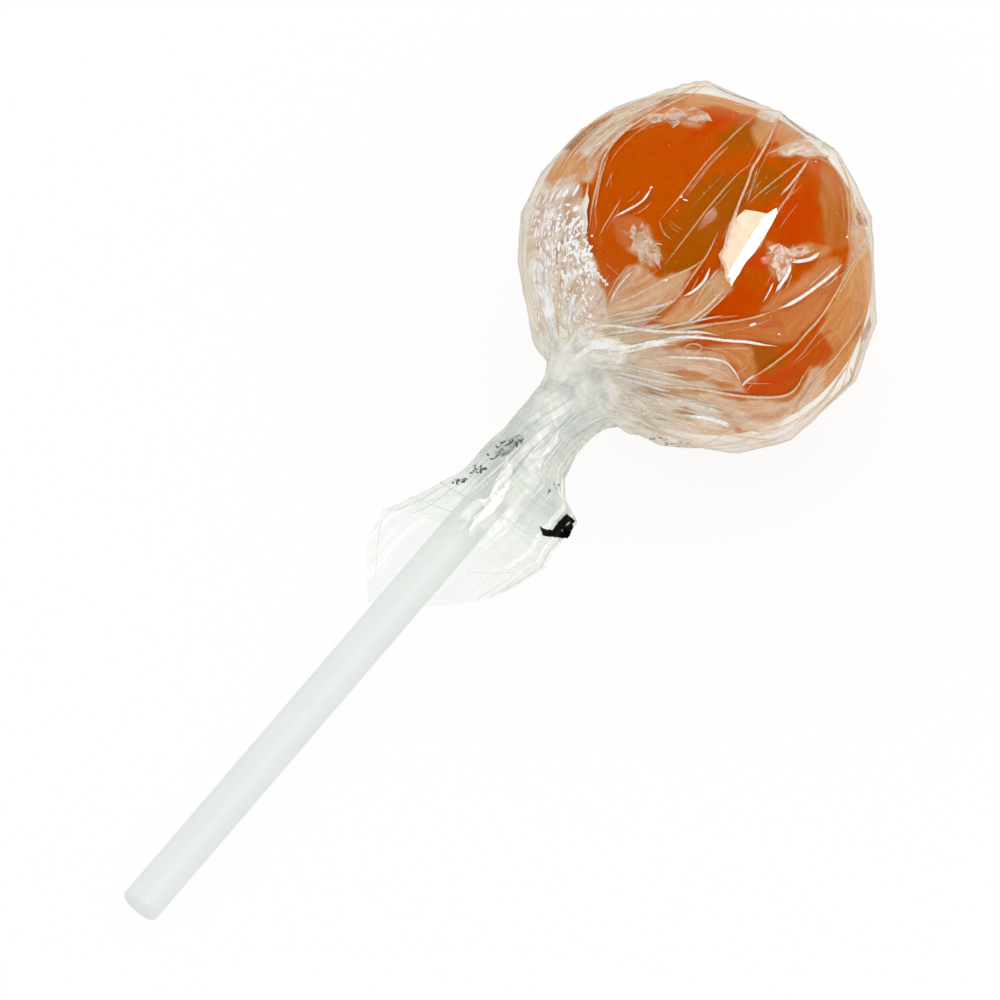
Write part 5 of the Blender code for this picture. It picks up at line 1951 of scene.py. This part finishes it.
def make_black_mark():
    """The patch as a thin closed body laid over the shoulder's edge, nearest to it along a fold."""
    flat, faces = filled(jagged(BLACK_OUTLINE), BLACK_STEP)
    lines = np.array(BLACK_FOLD_LINES)
    places = []
    for (x, y), depth in zip(flat, film_depths(flat)):
        bend = float(np.interp(x, lines[:, 0], lines[:, 1]))
        places.append(BALL_MIDDLE + Vector((FACE_SCALE * (x * RIGHT + y * UP) + (depth + bend) * BACK) * MM))
    item = patch_body("black_mark", places, [Vector(BACK)] * len(places), faces, BLACK_BODY)
    item.data.shade_flat()
    item.data.materials.append(black_ink())
    return item


BLACK_MARK = make_black_mark()
print("black mark faces", len(BLACK_MARK.data.polygons))

# %% [markdown]
# ## Floor and light
# A pale floor and soft light from all round, with one window-shaped softbox
# above the camera's right that draws the bright patch on the film.

# %% Floor and light
SURROUND = 0.90
MIRROR_LOW = -0.55
MIRROR_HIGH = -0.10
MIRROR_BRIGHT = 0.45
MIRROR_DARK = 0.03
FLOOR_HALF = 3.0
FLOOR_GLOW = 0.88
LAYERS_SEEN_THROUGH = 48


def make_floor():
    """A pale floor at the level that the lollipop lies on."""
    corners = FLOOR_HALF * np.array(((-1.0, -1.0, 0.0), (1.0, -1.0, 0.0), (1.0, 1.0, 0.0), (-1.0, 1.0, 0.0)))
    floor = mesh_object("floor", corners, [(0, 1, 2, 3)])
    graph = Finish("pale_floor")
    surface = graph.principled({
        "Base Color": (0.12, 0.12, 0.12, 1.0), "Roughness": 0.9, "Specular IOR Level": 0.0,
        "Emission Color": (1.0, 1.0, 1.0, 1.0), "Emission Strength": FLOOR_GLOW})
    floor.data.materials.append(graph.finish(surface))
    floor.visible_glossy = False


def softbox(name, towards, distance, width, height, radiance, turn=0.0, mirrored=True):
    """An area light seen from the ball along camera axes (right, up, back), facing it."""
    direction = np.array(towards, dtype=float)
    direction /= np.linalg.norm(direction)
    place = np.array((0.0, 0.0, BALL_HEIGHT * MM))
    place = place + distance * (direction[0] * RIGHT + direction[1] * UP + direction[2] * BACK)
    data = bpy.data.lights.new(name, "AREA")
    data.shape = "RECTANGLE"
    data.size = width
    data.size_y = height
    data.energy = radiance * math.pi * width * height
    lamp = link(bpy.data.objects.new(name, data))
    away = Vector(place) - BALL_MIDDLE
    lamp.rotation_mode = "QUATERNION"
    lamp.rotation_quaternion = away.to_track_quat("Z", "Y") @ Matrix.Rotation(turn, 3, "Z").to_quaternion()
    lamp.location = Vector(place)
    lamp.visible_glossy = mirrored
    return lamp


def make_surround():
    """A white surround; the gloss sees it grey below and nearly black above."""
    world = bpy.data.worlds.new("surround")
    bpy.context.scene.world = world
    graph = Finish("surround", world)
    direction = graph.node("ShaderNodeTexCoord", output="Generated")
    level = graph.node("ShaderNodeSeparateXYZ", None, {0: direction}, "Z")
    mirrored = graph.node("ShaderNodeLightPath", output="Is Glossy Ray")
    seen = level.step(MIRROR_LOW, MIRROR_HIGH, MIRROR_BRIGHT, MIRROR_DARK)
    strength = SURROUND + mirrored * (seen - SURROUND)
    light = graph.node("ShaderNodeBackground", None, {"Color": (1.0, 1.0, 1.0, 1.0), "Strength": strength})
    graph.node("ShaderNodeOutputWorld", None, {"Surface": light})


def light_scene():
    """A white surround and three softboxes; the window and the strip show only in the gloss."""
    make_surround()
    window = softbox("window", (0.47, 0.213, 0.855), distance=0.8, width=0.26, height=0.50, radiance=42.0,
                     turn=25.0 * DEG)
    window.visible_diffuse = False
    strip = softbox("left_strip", (-0.85, 0.35, 0.45), distance=0.9, width=0.12, height=0.6, radiance=3.0,
                    turn=20.0 * DEG)
    strip.visible_diffuse = False
    softbox("overhead", (0.25, 0.75, 0.6), distance=1.2, width=0.9, height=0.9, radiance=0.8, mirrored=False)


make_floor()
light_scene()
bpy.context.scene.cycles.transparent_max_bounces = LAYERS_SEEN_THROUGH
bpy.context.scene.view_settings.view_transform = "Standard"

# %% [markdown]
# ## Put the pieces on the lollipop's body
# Each piece stands for the solid that it replaces, which is hidden, and rides
# on the one body.

# %% Ride and replace
for piece, node, slot in ((FILM, "wrapper", "film"), (CANDY, "candy", "candy"), (STICK, "stick", "stick"),
                          (THREADS, "wrapper", "film"), (WHITE_PRINT_AND_GLINTS, "wrapper", "film"),
                          (DARK_PRINT, "wrapper", "film"), (SHINY, "wrapper", "film"), (GLARE, "wrapper", "film"),
                          *((fold, "wrapper", "film") for fold in SMALL_FOLDS), (BLACK_MARK, "wrapper", "film"),
                          (BUBBLES, "candy", "candy")):
    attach(piece, BODY)
    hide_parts(node)

bpy.context.view_layer.update()
